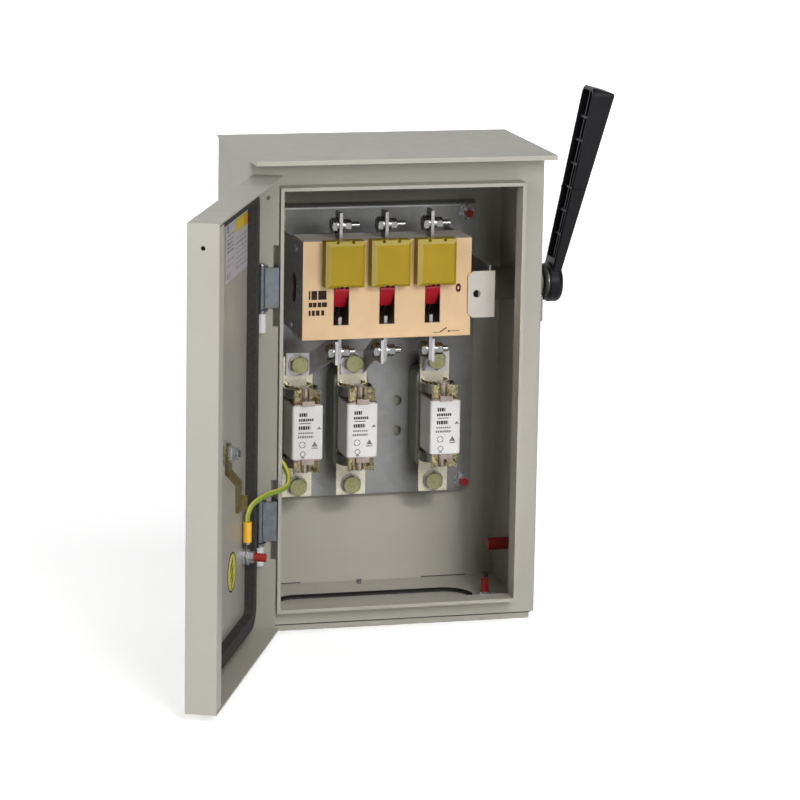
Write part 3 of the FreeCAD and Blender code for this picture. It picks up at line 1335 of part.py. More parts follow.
def main():
    os.makedirs("parts", exist_ok=True)
    save("enclosure_shell", enclosure_shell())
    save("rain_roof", rain_roof())
    save("gland_gasket", gland_gasket())
    save("gland_plate", gland_plate())
    save("gland_screws", gland_screws())
    save("door_panel", swung(door_panel()))
    save("door_gasket", swung(door_gasket()))
    save("hinge_leaves", [hinge_leaf(h) for h in HINGE_HEIGHTS])
    save("door_brackets", [swung(door_bracket(h)) for h in HINGE_HEIGHTS])
    save("hinge_pins", [swung(hinge_pin(h)) for h in HINGE_HEIGHTS])
    save("hinge_bushes", [swung(hinge_bush(h)) for h in HINGE_HEIGHTS])
    for name, maker in (("latch_barrel", latch_barrel), ("latch_nut", latch_nut),
                        ("latch_core", latch_core), ("cam_lever", cam_lever),
                        ("cam_nut", cam_bolt)):
        save(name, swung(maker()))
    place = door_stud_place()
    save("door_lug", swung(earth_lug(*place)))
    save("door_sleeve", swung(lug_sleeve(*place)))
    save("body_lug", onto_wire_stud(earth_lug(0, 0, 0)))
    save("body_sleeve", onto_wire_stud(lug_sleeve(0, 0, 0)))
    save("door_earth_stud", swung(stud(*place, Y_AXIS)))
    save("door_earth_nuts", [swung(shape) for shape in lug_nuts(*place, Y_AXIS)])
    seat = lug_plane() + LUG_T / 2
    save("door_stud_cap", swung(cap(*place, Y_AXIS, nut_top(seat))))
    save("earth_wire", tube(wire_route(), WIRE_R))
    studs = [stud(*floor_stud(), FLOOR_STUD_LEN), stud(*wall_stud()), stud(*wire_stud())]
    save("weld_studs", plate_studs() + studs)
    save("stud_nuts", plate_nuts() + nut_set(*floor_stud(), 0.0) + lug_nuts(*wire_stud()))
    caps = [cap(*floor_stud(), nut_top(), FLOOR_STUD_LEN),
            cap(*wall_stud(), 0.0, STUD_LEN, WALL_CAP_R)]
    caps += [cap(x, -SHEET, z, (0, -1, 0), nut_top(PLATE_GAP + PLATE_T), PLATE_STUD_LEN)
             for x, z in plate_stud_places()]
    save("stud_caps", caps)
    save("mounting_plate", mounting_plate())
    save("switch_side_left", switch_side_left())
    save("switch_side_right", side_plate(SWITCH_RIGHT - SIDE_T, 1))
    save("switch_screws", switch_screws())
    save("contact_board", contact_board())
    save("switch_cover", switch_cover())
    save("arc_chutes", [arc_chute(x) for x in POLES])
    save("fixed_contacts", [fixed_contact(x, top) for x in POLES for top in (True, False)])
    bolts = [terminal_bolt(x, at(TOP_BOLT_H), 0) for x in POLES]
    nuts = [s for x in POLES for s in terminal_nut(x, at(TOP_BOLT_H), 0, 0)]
    for x, f in zip(POLES, FUSE_CENTRES):
        lead = STRAP_T if f < x else 0
        bolts.append(terminal_bolt(x, at(BOTTOM_BOLT_H), lead))
        nuts += terminal_nut(x, at(BOTTOM_BOLT_H), lead, STRAP_T - lead)
    save("terminal_bolts", bolts)
    save("terminal_nuts", nuts)
    save("traverse", traverse())
    save("blade_carriers", [opened_rotor(blade_carrier(x)) for x in POLES])
    save("moving_blades", [opened_rotor(moving_blade(x, s)) for x in POLES for s in (-1, 1)])
    save("drive_shaft", drive_shaft())
    save("bearing_bush", bearing_bush())
    save("padlock_plate", padlock_plate())
    save("shaft_seal", shaft_seal())
    save("shaft_washer", shaft_washer())
    save("drive_bracket", drive_bracket())
    save("interlock_plate", interlock_plate())
    save("handle_lever", handle_lever())
    save("handle_bolt", handle_bolt())
    save("fuse_bases", [fuse_base(x) for x in FUSE_CENTRES])
    save("fuse_jaws", [jaw(x, way) for x in FUSE_CENTRES for way in (-1, 1)])
    save("jaw_springs", [s for x in FUSE_CENTRES for way in (-1, 1)
                         for s in spring_clip(x, way)])
    save("fuse_bolts", [fuse_bolt(x, way) for x in FUSE_CENTRES for way in (-1, 1)])
    for i, x in enumerate(FUSE_CENTRES, 1):
        save("fuse_body_%d" % i, fuse_body(x))
        save("fuse_ends_%d" % i, fuse_ends(x))
    save("link_straps", [strap(f, p) for f, p in zip(FUSE_CENTRES, POLES)])


main()
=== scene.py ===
import bmesh
import bpy
import math
from mathutils import Matrix, Vector


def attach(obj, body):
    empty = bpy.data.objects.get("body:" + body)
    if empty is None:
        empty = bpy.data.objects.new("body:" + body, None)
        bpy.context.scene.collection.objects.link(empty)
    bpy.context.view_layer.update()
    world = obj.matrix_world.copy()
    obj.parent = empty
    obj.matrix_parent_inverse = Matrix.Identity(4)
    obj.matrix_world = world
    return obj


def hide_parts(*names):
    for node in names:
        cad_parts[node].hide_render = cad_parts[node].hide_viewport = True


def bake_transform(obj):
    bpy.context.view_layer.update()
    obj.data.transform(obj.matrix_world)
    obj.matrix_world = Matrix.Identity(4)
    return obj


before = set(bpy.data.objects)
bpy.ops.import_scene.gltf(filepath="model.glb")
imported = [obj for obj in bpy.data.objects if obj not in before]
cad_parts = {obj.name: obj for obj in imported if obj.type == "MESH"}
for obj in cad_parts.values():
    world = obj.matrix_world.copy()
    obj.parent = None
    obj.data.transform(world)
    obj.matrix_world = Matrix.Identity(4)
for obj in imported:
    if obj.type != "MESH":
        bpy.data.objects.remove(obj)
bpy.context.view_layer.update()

# All lengths are in metres, save those of the printed marks, which are in millimetres.
# FLOOR is the inner side of the box's floor, and heights on the box count from there.
FLOOR = -0.220
BOX_BOTTOM = FLOOR - 0.0076
BACK_INNER = -0.0015

# The door: its hinge axis, how far it stands open, and its inner face when closed
PIN = Vector((-0.1323, -0.1579, 0.0))
DOOR_OPEN = math.radians(-113.85)
DOOR_INNER = -0.166

# Front faces of the switch cover, the fuses and the pads of the jaws
COVER_FRONT = -0.097
FUSE_FRONT = -0.085
PAD_FRONT = -0.0425

# The fuses, from the left, and the height of their middle
FUSES = (-0.0702, -0.0172, 0.064)
FUSE_H = 0.170

# How far the washers of the fuse bolts stand before the pads, below and above the fuses
LOWER_WASHER = 0.0017
UPPER_WASHER = 0.0042

# The camera: its place, how far it turns right, down and over, in degrees, and its lens in mm
CAMERA_AT = (-0.8522, -3.3714, 0.7045)
CAMERA_TURN = (14.847, 12.059, 0.976)
CAMERA_LENS = 165.8
CAMERA_SENSOR = 36.0

# The studio floor, and the wall that rises from its rear edge
FLOOR_WIDE, FLOOR_DEEP = 16, 11
WALL_FROM = 5
WALL_HIGH = 4
COVE = 1.2


# Picking

def pick_none():
    bpy.ops.object.select_all(action="DESELECT")


def pick_none_of(kind):
    """Lets go of all of the active mesh, so that its faces or edges can be picked in code."""
    bpy.ops.object.mode_set(mode="EDIT")
    bpy.ops.mesh.select_mode(type=kind)
    bpy.ops.mesh.select_all(action="DESELECT")
    bpy.ops.object.mode_set(mode="OBJECT")


def settle(piece):
    """Leaves the object at the origin, with its place in its mesh."""
    pick_none()
    piece.select_set(True)
    bpy.context.view_layer.objects.active = piece
    bpy.ops.object.transform_apply(location=True, rotation=True, scale=True)


# Camera and light

def set_camera():
    yaw, pitch, roll = (math.radians(angle) for angle in CAMERA_TURN)
    sy, cy, sp, cp = math.sin(yaw), math.cos(yaw), math.sin(pitch), math.cos(pitch)
    ahead = Vector((sy * cp, cy * cp, -sp))
    level = Vector((cy, -sy, 0))
    above = level.cross(ahead)
    right = math.cos(roll) * level + math.sin(roll) * above
    up = -math.sin(roll) * level + math.cos(roll) * above
    data = bpy.data.cameras.new("photo_view")
    data.lens = CAMERA_LENS
    data.sensor_width = CAMERA_SENSOR
    camera = bpy.data.objects.new("photo_view", data)
    turn = Matrix((right, up, -ahead)).transposed().to_4x4()
    camera.matrix_world = Matrix.Translation(CAMERA_AT) @ turn
    bpy.context.collection.objects.link(camera)
    bpy.context.scene.camera = camera


def soft_light(name, place, target, size, power, spread=180):
    data = bpy.data.lights.new(name, "AREA")
    data.shape = "RECTANGLE"
    data.size, data.size_y = size
    data.energy = power
    data.spread = math.radians(spread)
    lamp = bpy.data.objects.new(name, data)
    lamp.location = place
    lamp.rotation_euler = (Vector(target) - Vector(place)).to_track_quat("-Z", "Y").to_euler()
    bpy.context.collection.objects.link(lamp)


def brighter_in_view(tree, socket, light, view):
    """Gives light to the scene but more to the camera, so that the surroundings look white."""
    ray = tree.nodes.new("ShaderNodeLightPath")
    level = tree.nodes.new("ShaderNodeMapRange")
    level.inputs["To Min"].default_value = light
    level.inputs["To Max"].default_value = view
    tree.links.new(ray.outputs["Is Camera Ray"], level.inputs["Value"])
    tree.links.new(level.outputs["Result"], socket)


def set_sky():
    world = bpy.data.worlds.new("studio")
    bpy.context.scene.world = world
    world.use_nodes = True
    sky = world.node_tree.nodes["Background"]
    sky.inputs["Color"].default_value = (1, 1, 1, 1)
    brighter_in_view(world.node_tree, sky.inputs["Strength"], light=0.10, view=1.0)
    bpy.context.scene.view_settings.view_transform = "Standard"


def set_lights():
    middle = (0, -0.1, 0)
    inner_floor = (0.03, 0, -0.175)
    wall = (0, 5.5, 0.8)
    soft_light("front_soft", (0.45, -2.9, 1.15), middle, (1.3, 1.1), 50)
    soft_light("low_fill", (0.2, -1.4, 0.75), inner_floor, (0.12, 0.12), 0.05, spread=13)
    soft_light("front_top", (0.4, -1.6, 2.9), middle, (1.6, 1.0), 24)
    soft_light("left_side", (-2.6, -1.75, 1.0), middle, (1.4, 1.6), 40)
    soft_light("back_wash", (0, 2.6, 3.4), wall, (4.0, 1.0), 130)


def add_studio_floor():
    """A pale floor under the box, which turns up into a wall far behind it."""
    bpy.ops.mesh.primitive_plane_add(size=1, location=(0, 0, BOX_BOTTOM))
    floor = bpy.context.object
    floor.name = "studio_floor"
    floor.scale = (FLOOR_WIDE, FLOOR_DEEP, 1)
    bpy.ops.object.transform_apply(location=True, rotation=True, scale=True)
    pick_none_of("EDGE")
    for edge in floor.data.edges:
        a, b = (floor.data.vertices[i].co for i in edge.vertices)
        edge.select = a.y > WALL_FROM and b.y > WALL_FROM
    bpy.ops.object.mode_set(mode="EDIT")
    bpy.ops.mesh.extrude_region_move(TRANSFORM_OT_translate={"value": (0, 0, WALL_HIGH)})
    bpy.ops.object.mode_set(mode="OBJECT")
    cove = floor.modifiers.new("cove", "BEVEL")
    cove.width = COVE
    cove.segments = 12
    cove.affect = "EDGES"
    bpy.ops.object.modifier_apply(modifier="cove")
    bpy.ops.object.shade_smooth()
    floor.data.materials.append(pale_floor())


# Finishes

WHITE = (1, 1, 1)


class Finish:
    """One material, built from nodes that read Object coordinates."""

    def __init__(self, name, colour, roughness, metal=0.0):
        self.material = bpy.data.materials.new(name)
        self.material.use_nodes = True
        self.tree = self.material.node_tree
        self.nodes = self.tree.nodes
        self.links = self.tree.links
        self.shader = self.nodes["Principled BSDF"]
        self.shader.inputs["Base Color"].default_value = (*colour, 1)
        self.shader.inputs["Roughness"].default_value = roughness
        self.shader.inputs["Metallic"].default_value = metal
        self.coords = self.nodes.new("ShaderNodeTexCoord")
        self.colour = colour
        self.normal = None
        self.base = None

    def noise(self, scale, detail, stretch=None):
        source = self.coords.outputs["Object"]
        if stretch:
            mapping = self.nodes.new("ShaderNodeMapping")
            mapping.inputs["Scale"].default_value = stretch
            self.links.new(source, mapping.inputs["Vector"])
            source = mapping.outputs["Vector"]
        node = self.nodes.new("ShaderNodeTexNoise")
        node.inputs["Scale"].default_value = scale
        node.inputs["Detail"].default_value = detail
        self.links.new(source, node.inputs["Vector"])
        return node.outputs["Fac"]

    def cells(self, scale):
        node = self.nodes.new("ShaderNodeTexVoronoi")
        node.inputs["Scale"].default_value = scale
        self.links.new(self.coords.outputs["Object"], node.inputs["Vector"])
        return node.outputs["Color"]

    def ramp(self, source, stops):
        node = self.nodes.new("ShaderNodeValToRGB")
        ramp = node.color_ramp
        while len(ramp.elements) < len(stops):
            ramp.elements.new(0.5)
        for element, (place, colour) in zip(ramp.elements, stops):
            element.position = place
            element.color = (*colour, 1)
        self.links.new(source, node.inputs["Fac"])
        return node.outputs["Color"]

    def tint(self, source, stops):
        """Colours the surface by a ramp, over what an earlier tint gave it."""
        colour = self.ramp(source, stops)
        if self.base:
            mix = self.nodes.new("ShaderNodeMix")
            mix.data_type = "RGBA"
            mix.blend_type = "MULTIPLY"
            mix.inputs["Factor"].default_value = 1.0
            self.links.new(self.base, mix.inputs["A"])
            self.links.new(colour, mix.inputs["B"])
            colour = mix.outputs["Result"]
        self.base = colour
        self.links.new(colour, self.shader.inputs["Base Color"])

    def uneven(self, source, low, high):
        """Lets the roughness vary between two values."""
        node = self.nodes.new("ShaderNodeMapRange")
        node.inputs["To Min"].default_value = low
        node.inputs["To Max"].default_value = high
        self.links.new(source, node.inputs["Value"])
        self.links.new(node.outputs["Result"], self.shader.inputs["Roughness"])

    def bump(self, source, strength, distance):
        node = self.nodes.new("ShaderNodeBump")
        node.inputs["Strength"].default_value = strength
        node.inputs["Distance"].default_value = distance
        self.links.new(source, node.inputs["Height"])
        if self.normal:
            self.links.new(self.normal, node.inputs["Normal"])
        self.normal = node.outputs["Normal"]
        self.links.new(self.normal, self.shader.inputs["Normal"])


def shades(colour, low, high):
    """Two stops of a ramp, the colour darkened and lightened."""
    return [(0.3, tuple(c * low for c in colour)), (0.7, tuple(min(1, c * high) for c in colour))]


def pale_floor():
    floor = Finish("pale_floor", (0.93, 0.93, 0.93), 0.9)
    floor.tint(floor.noise(3, 2), shades(floor.colour, 0.995, 1.0))
    floor.shader.inputs["Emission Color"].default_value = (1, 1, 1, 1)
    brighter_in_view(floor.tree, floor.shader.inputs["Emission Strength"], light=0.12, view=0.50)
    return floor.material


def powder_coat():
    paint = Finish("powder_coat", (0.39, 0.375, 0.325), 0.45)
    paint.tint(paint.noise(9, 4), shades(paint.colour, 0.97, 1.03))
    paint.uneven(paint.noise(60, 4), 0.36, 0.52)
    paint.bump(paint.noise(900, 2), 0.25, 0.0004)
    paint.bump(paint.noise(220, 2), 0.12, 0.0008)
    return paint.material


def inner_coat():
    """The inner face of the door, smoother than the outside."""
    coat = Finish("inner_coat", (0.33, 0.315, 0.28), 0.32)
    coat.tint(coat.noise(9, 4), shades(coat.colour, 0.96, 1.03))
    coat.tint(coat.noise(30, 2, stretch=(1, 1, 0.25)), shades(WHITE, 0.93, 1.0))
    coat.uneven(coat.noise(60, 4), 0.26, 0.38)
    coat.bump(coat.noise(500, 2), 0.12, 0.0003)
    return coat.material


def zinc_plate(name, colour, roughness, metal=1.0):
    zinc = Finish(name, colour, roughness, metal)
    zinc.tint(zinc.noise(140, 4), shades(colour, 0.80, 1.12))
    zinc.uneven(zinc.noise(260, 3), roughness * 0.7, roughness * 1.5)
    zinc.bump(zinc.noise(1500, 2), 0.12, 0.0003)
    return zinc.material


def yellow_passivate(name, stops, roughness):
    gold = Finish(name, stops[0][1], roughness, 0.75)
    gold.tint(gold.noise(170, 1.2), stops)
    gold.tint(gold.noise(450, 3), shades(WHITE, 0.88, 1.0))
    gold.uneven(gold.noise(300, 3), roughness * 0.7, roughness * 1.5)
    gold.bump(gold.noise(1400, 2), 0.1, 0.0003)
    return gold.material


def galvanised_sheet():
    sheet = Finish("galvanised_sheet", (0.31, 0.31, 0.31), 0.42, 0.7)
    sheet.tint(sheet.cells(130), [(0.2, (0.302, 0.304, 0.304)), (0.8, (0.330, 0.331, 0.328))])
    sheet.tint(sheet.noise(16, 4), shades(WHITE, 0.88, 1.0))
    sheet.uneven(sheet.noise(120, 3), 0.30, 0.48)
    sheet.bump(sheet.noise(700, 2, stretch=(1, 1, 0.1)), 0.06, 0.0003)
    return sheet.material


def moulded_plastic(name, colour, roughness, specular=0.5):
    plastic = Finish(name, colour, roughness)
    plastic.tint(plastic.noise(45, 4), shades(colour, 0.95, 1.04))
    plastic.uneven(plastic.noise(180, 3), roughness * 0.85, roughness * 1.2)
    plastic.bump(plastic.noise(900, 2), 0.18, 0.0003)
    plastic.shader.inputs["Specular IOR Level"].default_value = specular
    return plastic.material


def painted_highlight_cover_top():
    """The upper side of the switch cover, paler than its front: a painted highlight where the
    light falls on it.
    """
    top = Finish("painted_highlight_cover_top", (0.66, 0.60, 0.53), 0.4)
    top.tint(top.noise(45, 4), shades(top.colour, 0.95, 1.04))
    top.bump(top.noise(900, 2), 0.18, 0.0003)
    return top.material


def foam_rubber():
    foam = Finish("foam_rubber", (0.028, 0.026, 0.023), 0.85)
    foam.tint(foam.noise(400, 3), shades(foam.colour, 0.8, 1.35))
    foam.bump(foam.noise(1600, 3), 0.5, 0.0004)
    return foam.material


def glazed_ceramic():
    ceramic = Finish("glazed_ceramic", (0.68, 0.67, 0.66), 0.28)
    ceramic.tint(ceramic.noise(60, 3), shades(ceramic.colour, 0.97, 1.02))
    ceramic.shader.inputs["Coat Weight"].default_value = 0.25
    ceramic.shader.inputs["Coat Roughness"].default_value = 0.15
    ceramic.bump(ceramic.noise(500, 2), 0.06, 0.0003)
    return ceramic.material


def print_ink(name, colour):
    ink = Finish(name, colour, 0.6)
    ink.tint(ink.noise(900, 3), shades(colour, 0.8, 1.2))
    ink.shader.inputs["Specular IOR Level"].default_value = 0.15
    return ink.material


def satin_label():
    label = Finish("satin_label", (0.42, 0.40, 0.44), 0.35)
    label.tint(label.noise(120, 3), shades(label.colour, 0.96, 1.03))
    label.uneven(label.noise(200, 2), 0.28, 0.42)
    return label.material


# Stops of the yellow passivated pieces, each a place on the ramp and its colour
# The pale cream stops of the gold ramp are painted highlights, spots of reflected light among the
# passivate's own mottled tone.
GOLD_AND_GLINTS = [(0.34, (0.26, 0.19, 0.07)), (0.43, (0.95, 0.90, 0.64)), (0.49, (0.60, 0.55, 0.22)),
        (0.56, (0.98, 0.94, 0.74)), (0.66, (0.40, 0.27, 0.14))]
CREAM = [(0.30, (0.70, 0.66, 0.52)), (0.5, (0.76, 0.73, 0.60)), (0.7, (0.72, 0.67, 0.50))]
OLIVE = [(0.30, (0.27, 0.27, 0.12)), (0.5, (0.34, 0.33, 0.17)), (0.7, (0.28, 0.30, 0.15))]
BRONZE = [(0.30, (0.17, 0.13, 0.05)), (0.5, (0.24, 0.20, 0.08)), (0.7, (0.20, 0.20, 0.09))]


# Which node gets which finish

def dress(node, material):
    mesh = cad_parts[node].data
    mesh.materials.clear()
    mesh.materials.append(material)
    for face in mesh.polygons:
        face.material_index = 0


def second_finish(node, material, belongs):
    """Gives the faces that belongs() picks, by centre and normal, a finish of their own."""
    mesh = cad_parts[node].data
    mesh.materials.append(material)
    for face in mesh.polygons:
        if belongs(face.center, face.normal):
            face.material_index = 1


def on_inner_face(centre, normal):
    """Whether a face of the open door lies on its inner side."""
    swing = Matrix.Rotation(-DOOR_OPEN, 3, "Z")
    closed = swing @ (centre - PIN) + PIN
    return (swing @ normal).y > 0.9 and abs(closed.y - DOOR_INNER) < 0.001


def on_jaw_pad(centre, normal):
    return normal.y < -0.9 and centre.y > PAD_FRONT - 0.0005


def on_bolt_washer(centre, normal):
    stands = UPPER_WASHER if centre.z > FLOOR + FUSE_H else LOWER_WASHER
    return centre.y > PAD_FRONT - stands


# Upward faces of the switch cover, which get the painted highlight
def on_painted_highlight_top(centre, normal):
    return normal.z > 0.7


def on_painted_light_slope(centre, normal):
    """Whether a face lies on the left or upper slope round the front of a chute, the faces that
    get painted light.
    """
    return normal.y < -0.3 and (normal.x < -0.3 or normal.z > 0.3)


def finish_metals():
    for nodes, material in (
            (("enclosure_shell", "rain_roof", "gland_plate", "door_panel"), powder_coat()),
            (("mounting_plate",), galvanised_sheet()),
            (("hinge_pins", "weld_studs", "latch_core", "terminal_nuts", "terminal_bolts",
              "handle_bolt", "gland_screws", "padlock_plate", "drive_shaft", "traverse"),
             zinc_plate("zinc_plate", (0.30, 0.30, 0.29), 0.24)),
            (("hinge_leaves", "door_brackets"),
             zinc_plate("dull_zinc", (0.17, 0.185, 0.20), 0.38)),
            (("latch_barrel", "latch_nut", "cam_nut", "door_earth_stud", "door_earth_nuts",
              "stud_nuts", "shaft_washer", "switch_screws"),
             zinc_plate("bright_zinc", (0.52, 0.53, 0.55), 0.26, 0.7)),
            (("switch_side_left", "switch_side_right", "drive_bracket"),
             zinc_plate("switch_steel", (0.34, 0.32, 0.31), 0.34, 0.5)),
            (("link_straps",), zinc_plate("strap_copper", (0.58, 0.565, 0.60), 0.42, 0.4)),
            (("fuse_ends_1", "fuse_ends_2", "fuse_ends_3"),
             zinc_plate("knife_copper", (0.40, 0.33, 0.30), 0.32)),
            (("fuse_jaws",), yellow_passivate("gold_passivate_and_glints", GOLD_AND_GLINTS, 0.26)),
            (("fuse_bolts",), yellow_passivate("olive_passivate", OLIVE, 0.34)),
            (("cam_lever",), yellow_passivate("bronze_cam", BRONZE, 0.4))):
        for node in nodes:
            dress(node, material)
    tinned = zinc_plate("tinned_copper", (0.40, 0.39, 0.39), 0.3)
    for node in ("fixed_contacts", "moving_blades", "door_lug", "body_lug", "jaw_springs"):
        dress(node, tinned)
    second_finish("fuse_bolts", tinned, on_bolt_washer)
    second_finish("fuse_jaws", yellow_passivate("cream_pads", CREAM, 0.42), on_jaw_pad)
    second_finish("door_panel", inner_coat(), on_inner_face)


def finish_mouldings():
    foam = foam_rubber()
    for node in ("gland_gasket", "door_gasket", "shaft_seal"):
        dress(node, foam)
    ceramic = glazed_ceramic()
    for node in ("fuse_body_1", "fuse_body_2", "fuse_body_3"):
        dress(node, ceramic)
    for name, nodes, colour, roughness, specular in (
            ("white_bush", ("hinge_bushes",), (0.62, 0.61, 0.60), 0.4, 0.5),
            ("red_cap", ("stud_caps", "door_stud_cap"), (0.32, 0.022, 0.018), 0.3, 0.5),
            ("beige_cover", ("switch_cover",), (0.76, 0.525, 0.30), 0.42, 0.5),
            ("ochre_chute", ("arc_chutes",), (0.40, 0.275, 0.012), 0.5, 0.2),
            ("red_carrier", ("blade_carriers",), (0.48, 0.012, 0.025), 0.32, 0.5),
            ("black_lever", ("handle_lever",), (0.006, 0.006, 0.008), 0.4, 0.22),
            ("grey_bush", ("bearing_bush",), (0.13, 0.12, 0.10), 0.45, 0.5),
            ("base_compound", ("fuse_bases",), (0.24, 0.25, 0.21), 0.5, 0.5),
            ("board_compound", ("contact_board",), (0.16, 0.12, 0.07), 0.5, 0.5),
            ("light_grey_tab", ("interlock_plate",), (0.60, 0.56, 0.51), 0.4, 0.5),
            ("yellow_sleeve", ("door_sleeve", "body_sleeve"), (0.88, 0.48, 0.02), 0.4, 0.5),
            ("green_jacket", ("earth_wire",), (0.21, 0.32, 0.03), 0.4, 0.5)):
        material = moulded_plastic(name, colour, roughness, specular)
        for node in nodes:
            dress(node, material)
    # Painted highlight: the upper faces of the switch cover in a paler colour
    second_finish("switch_cover", painted_highlight_cover_top(), on_painted_highlight_top)
    # Painted light: the left and upper slopes of the chutes in a paler ochre, as though lit
    edge = moulded_plastic("painted_light_chute_edge", (0.62, 0.50, 0.13), 0.5)
    second_finish("arc_chutes", edge, on_painted_light_slope)


# Printed marks. Each has the number of its ink, its kind and four measures in millimetres, from
# the left and the top of its field. A bar, a row of dashes and a wedge have left, top, right and
# low, a ring its middle and two radii, an oval its middle and half its width and height, and a
# slant and a stroke their two ends.

DASH_PITCH, DASH_LONG = 2.1, 1.6
OVAL_INNER = 0.38
HALF_STROKE = {"slant": 0.6, "stroke": 2.2}
INK_LIFT = 0.00008

FUSE_MARKS = [
    (0, "dashes", 7, 6.5, 14.5, 10), (0, "dashes", 6.5, 12, 20.5, 14.3),
    (1, "bar", 7, 16, 18, 17), (0, "dashes", 6.5, 19, 17.5, 22.3),
    (1, "wedge", 24, 19.5, 28, 22.5), (1, "dashes", 6, 25, 20, 26.6),
    (1, "dashes", 5.5, 28.5, 20.5, 30.6), (1, "ring", 10, 37, 3.2, 2.4),
    (1, "wedge", 19, 34, 25, 39), (1, "bar", 19, 40, 25, 40.8),
    (1, "ring", 10.5, 46, 2.8, 2.1), (1, "bar", 9, 49.2, 12, 49.9)]
NOUGHT = [(0, "oval", 2.7, 4.3, 2.6, 4.2)]
SWITCH_LINE = [
    (0, "bar", 0, 7.2, 7, 7.8), (0, "slant", 7, 7.2, 13.5, 3.2),
    (0, "bar", 14.5, 6.2, 26, 6.8), (0, "ring", 15.5, 6.5, 1.0, 0.4)]
STICKER_STROKES = [
    (0, "stroke", 3, 16, 12, 7), (0, "stroke", 4, 25, 14, 14), (0, "stroke", 6, 32, 15, 22)]
SEAM_ENDS = [(0, "bar", 0, 0.5, 24, 1.5), (0, "bar", 145, 0.5, 190, 1.5)]

# Rows of blocks on the switch cover: top, low, and where each block begins and ends
COVER_ROWS = (
    (0, 8.5, (0, 1.6, 2.6, 8, 9, 17)),
    (11, 15.6, (0, 3.4, 4.2, 7.6, 8.4, 11.8, 12.6, 17.5)),
    (18.5, 23.3, (0, 2, 2.8, 6.2, 7, 10.4, 12, 15)))


def cover_marks():
    return [(0, "bar", ends[i], top, ends[i + 1], low)
            for top, low, ends in COVER_ROWS for i in range(0, len(ends), 2)]


def label_marks():
    left = [(1, "dashes", 6, 14 + 3.6 * i, 36 - 4 * (i % 3), 15.4 + 3.6 * i) for i in range(5)]
    right = [(2, "dashes", 44, 22 + 4.4 * i, 92 - 6 * (i % 2), 23.2 + 4.4 * i) for i in range(7)]
    return left + right + [
        (0, "bar", 42, 5, 78, 16), (3, "bar", 78, 5, 96, 16), (1, "bar", 6, 5, 12, 12),
        (2, "dashes", 6, 36, 34, 37.4), (2, "dashes", 6, 41, 30, 42.4),
        (1, "bar", 6, 48, 10, 53), (2, "bar", 16, 48, 20, 53)]


def ink_at(marks, u, t):
    """Which ink lies u mm from the left and t mm from the top, or None."""
    for ink, kind, a, b, c, d in marks:
        inside = a <= u <= c and b <= t <= d
        if kind == "bar":
            hit = inside
        elif kind == "dashes":
            hit = inside and (u - a) % DASH_PITCH < DASH_LONG
        elif kind == "wedge":
            hit = inside and abs(u - (a + c) / 2) <= (t - b) / (d - b) * (c - a) / 2
        elif kind == "ring":
            hit = d <= math.hypot(u - a, t - b) <= c
        elif kind == "oval":
            hit = OVAL_INNER <= math.hypot((u - a) / c, (t - b) / d) <= 1
        else:
            line = b + (u - a) / (c - a) * (d - b)
            hit = a <= u <= c and abs(t - line) <= HALF_STROKE[kind]
        if hit:
            return ink
    return None


def facing_front(x, y, height):
    place = Matrix.Translation((x, y, FLOOR + height))
    return place @ Matrix.Rotation(math.radians(90), 4, "X")


def facing_inside(x, y, height):
    """A place on the inner face of the door, given for the closed door."""
    swing = Matrix.Rotation(DOOR_OPEN, 4, "Z")
    closed = Matrix.Translation((x, y, FLOOR + height)) @ Matrix.Rotation(math.pi, 4, "Z")
    closed = closed @ Matrix.Rotation(math.radians(90), 4, "X")
    return Matrix.Translation(PIN) @ swing @ Matrix.Translation(-PIN) @ closed


def printed(name, body, wide, high, cell, marks, inks, place):
    """Marks printed on a flat face: a fine grid that keeps only the inked cells."""
    pick_none()
    across, down = round(wide / cell), round(high / cell)
    bpy.ops.mesh.primitive_grid_add(x_subdivisions=across, y_subdivisions=down, size=1)
    piece = bpy.context.object
    piece.name = name
    piece.scale = (wide / 1000, high / 1000, 1)
    bpy.ops.object.transform_apply(scale=True)
    mesh = piece.data
    for ink in inks:
        mesh.materials.append(ink)
    pick_none_of("FACE")
    for face in mesh.polygons:
        ink = ink_at(marks, face.center.x * 1000 + wide / 2, high / 2 - face.center.y * 1000)
        face.select = ink is None
        face.material_index = ink or 0
    bpy.ops.object.mode_set(mode="EDIT")
    bpy.ops.mesh.delete(type="FACE")
    bpy.ops.object.mode_set(mode="OBJECT")
    skin = piece.modifiers.new("skin", "SOLIDIFY")
    skin.thickness = INK_LIFT
    skin.offset = 1
    bpy.ops.object.modifier_apply(modifier="skin")
    piece.matrix_world = place
    settle(piece)
    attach(piece, body)


def add_fuse_prints():
    dark = print_ink("dark_print", (0.025, 0.018, 0.02))
    soft = print_ink("grey_print", (0.16, 0.155, 0.16))
    for i, x in enumerate(FUSES, 1):
        printed("fuse_print_%d" % i, "fuse_link_%d" % i, 30, 51, 0.5, FUSE_MARKS, (dark, soft),
                facing_front(x, FUSE_FRONT, FUSE_H))


def add_cover_prints():
    brown = print_ink("brown_print", (0.035, 0.018, 0.012))
    wine = print_ink("wine_print", (0.10, 0.012, 0.022))
    printed("cover_print", "enclosure", 18, 24, 0.5, cover_marks(), (brown,),
            facing_front(-0.0645, COVER_FRONT, 0.2955))
    printed("off_mark", "enclosure", 5.4, 8.6, 0.2, NOUGHT, (wine,),
            facing_front(0.0705, COVER_FRONT, 0.3065))
    printed("switch_symbol", "enclosure", 27, 9, 0.25, SWITCH_LINE, (brown,),
            facing_front(0.0600, COVER_FRONT, 0.2675))


def add_floor_seams():
    """Open ends of the fold where the floor meets the back."""
    seam = print_ink("seam_shadow", (0.03, 0.028, 0.024))
    printed("floor_seams", "enclosure", 190, 2, 0.5, SEAM_ENDS, (seam,),
            facing_front(0.015, BACK_INNER, 0.0020))


# Label and sticker on the inner face of the door

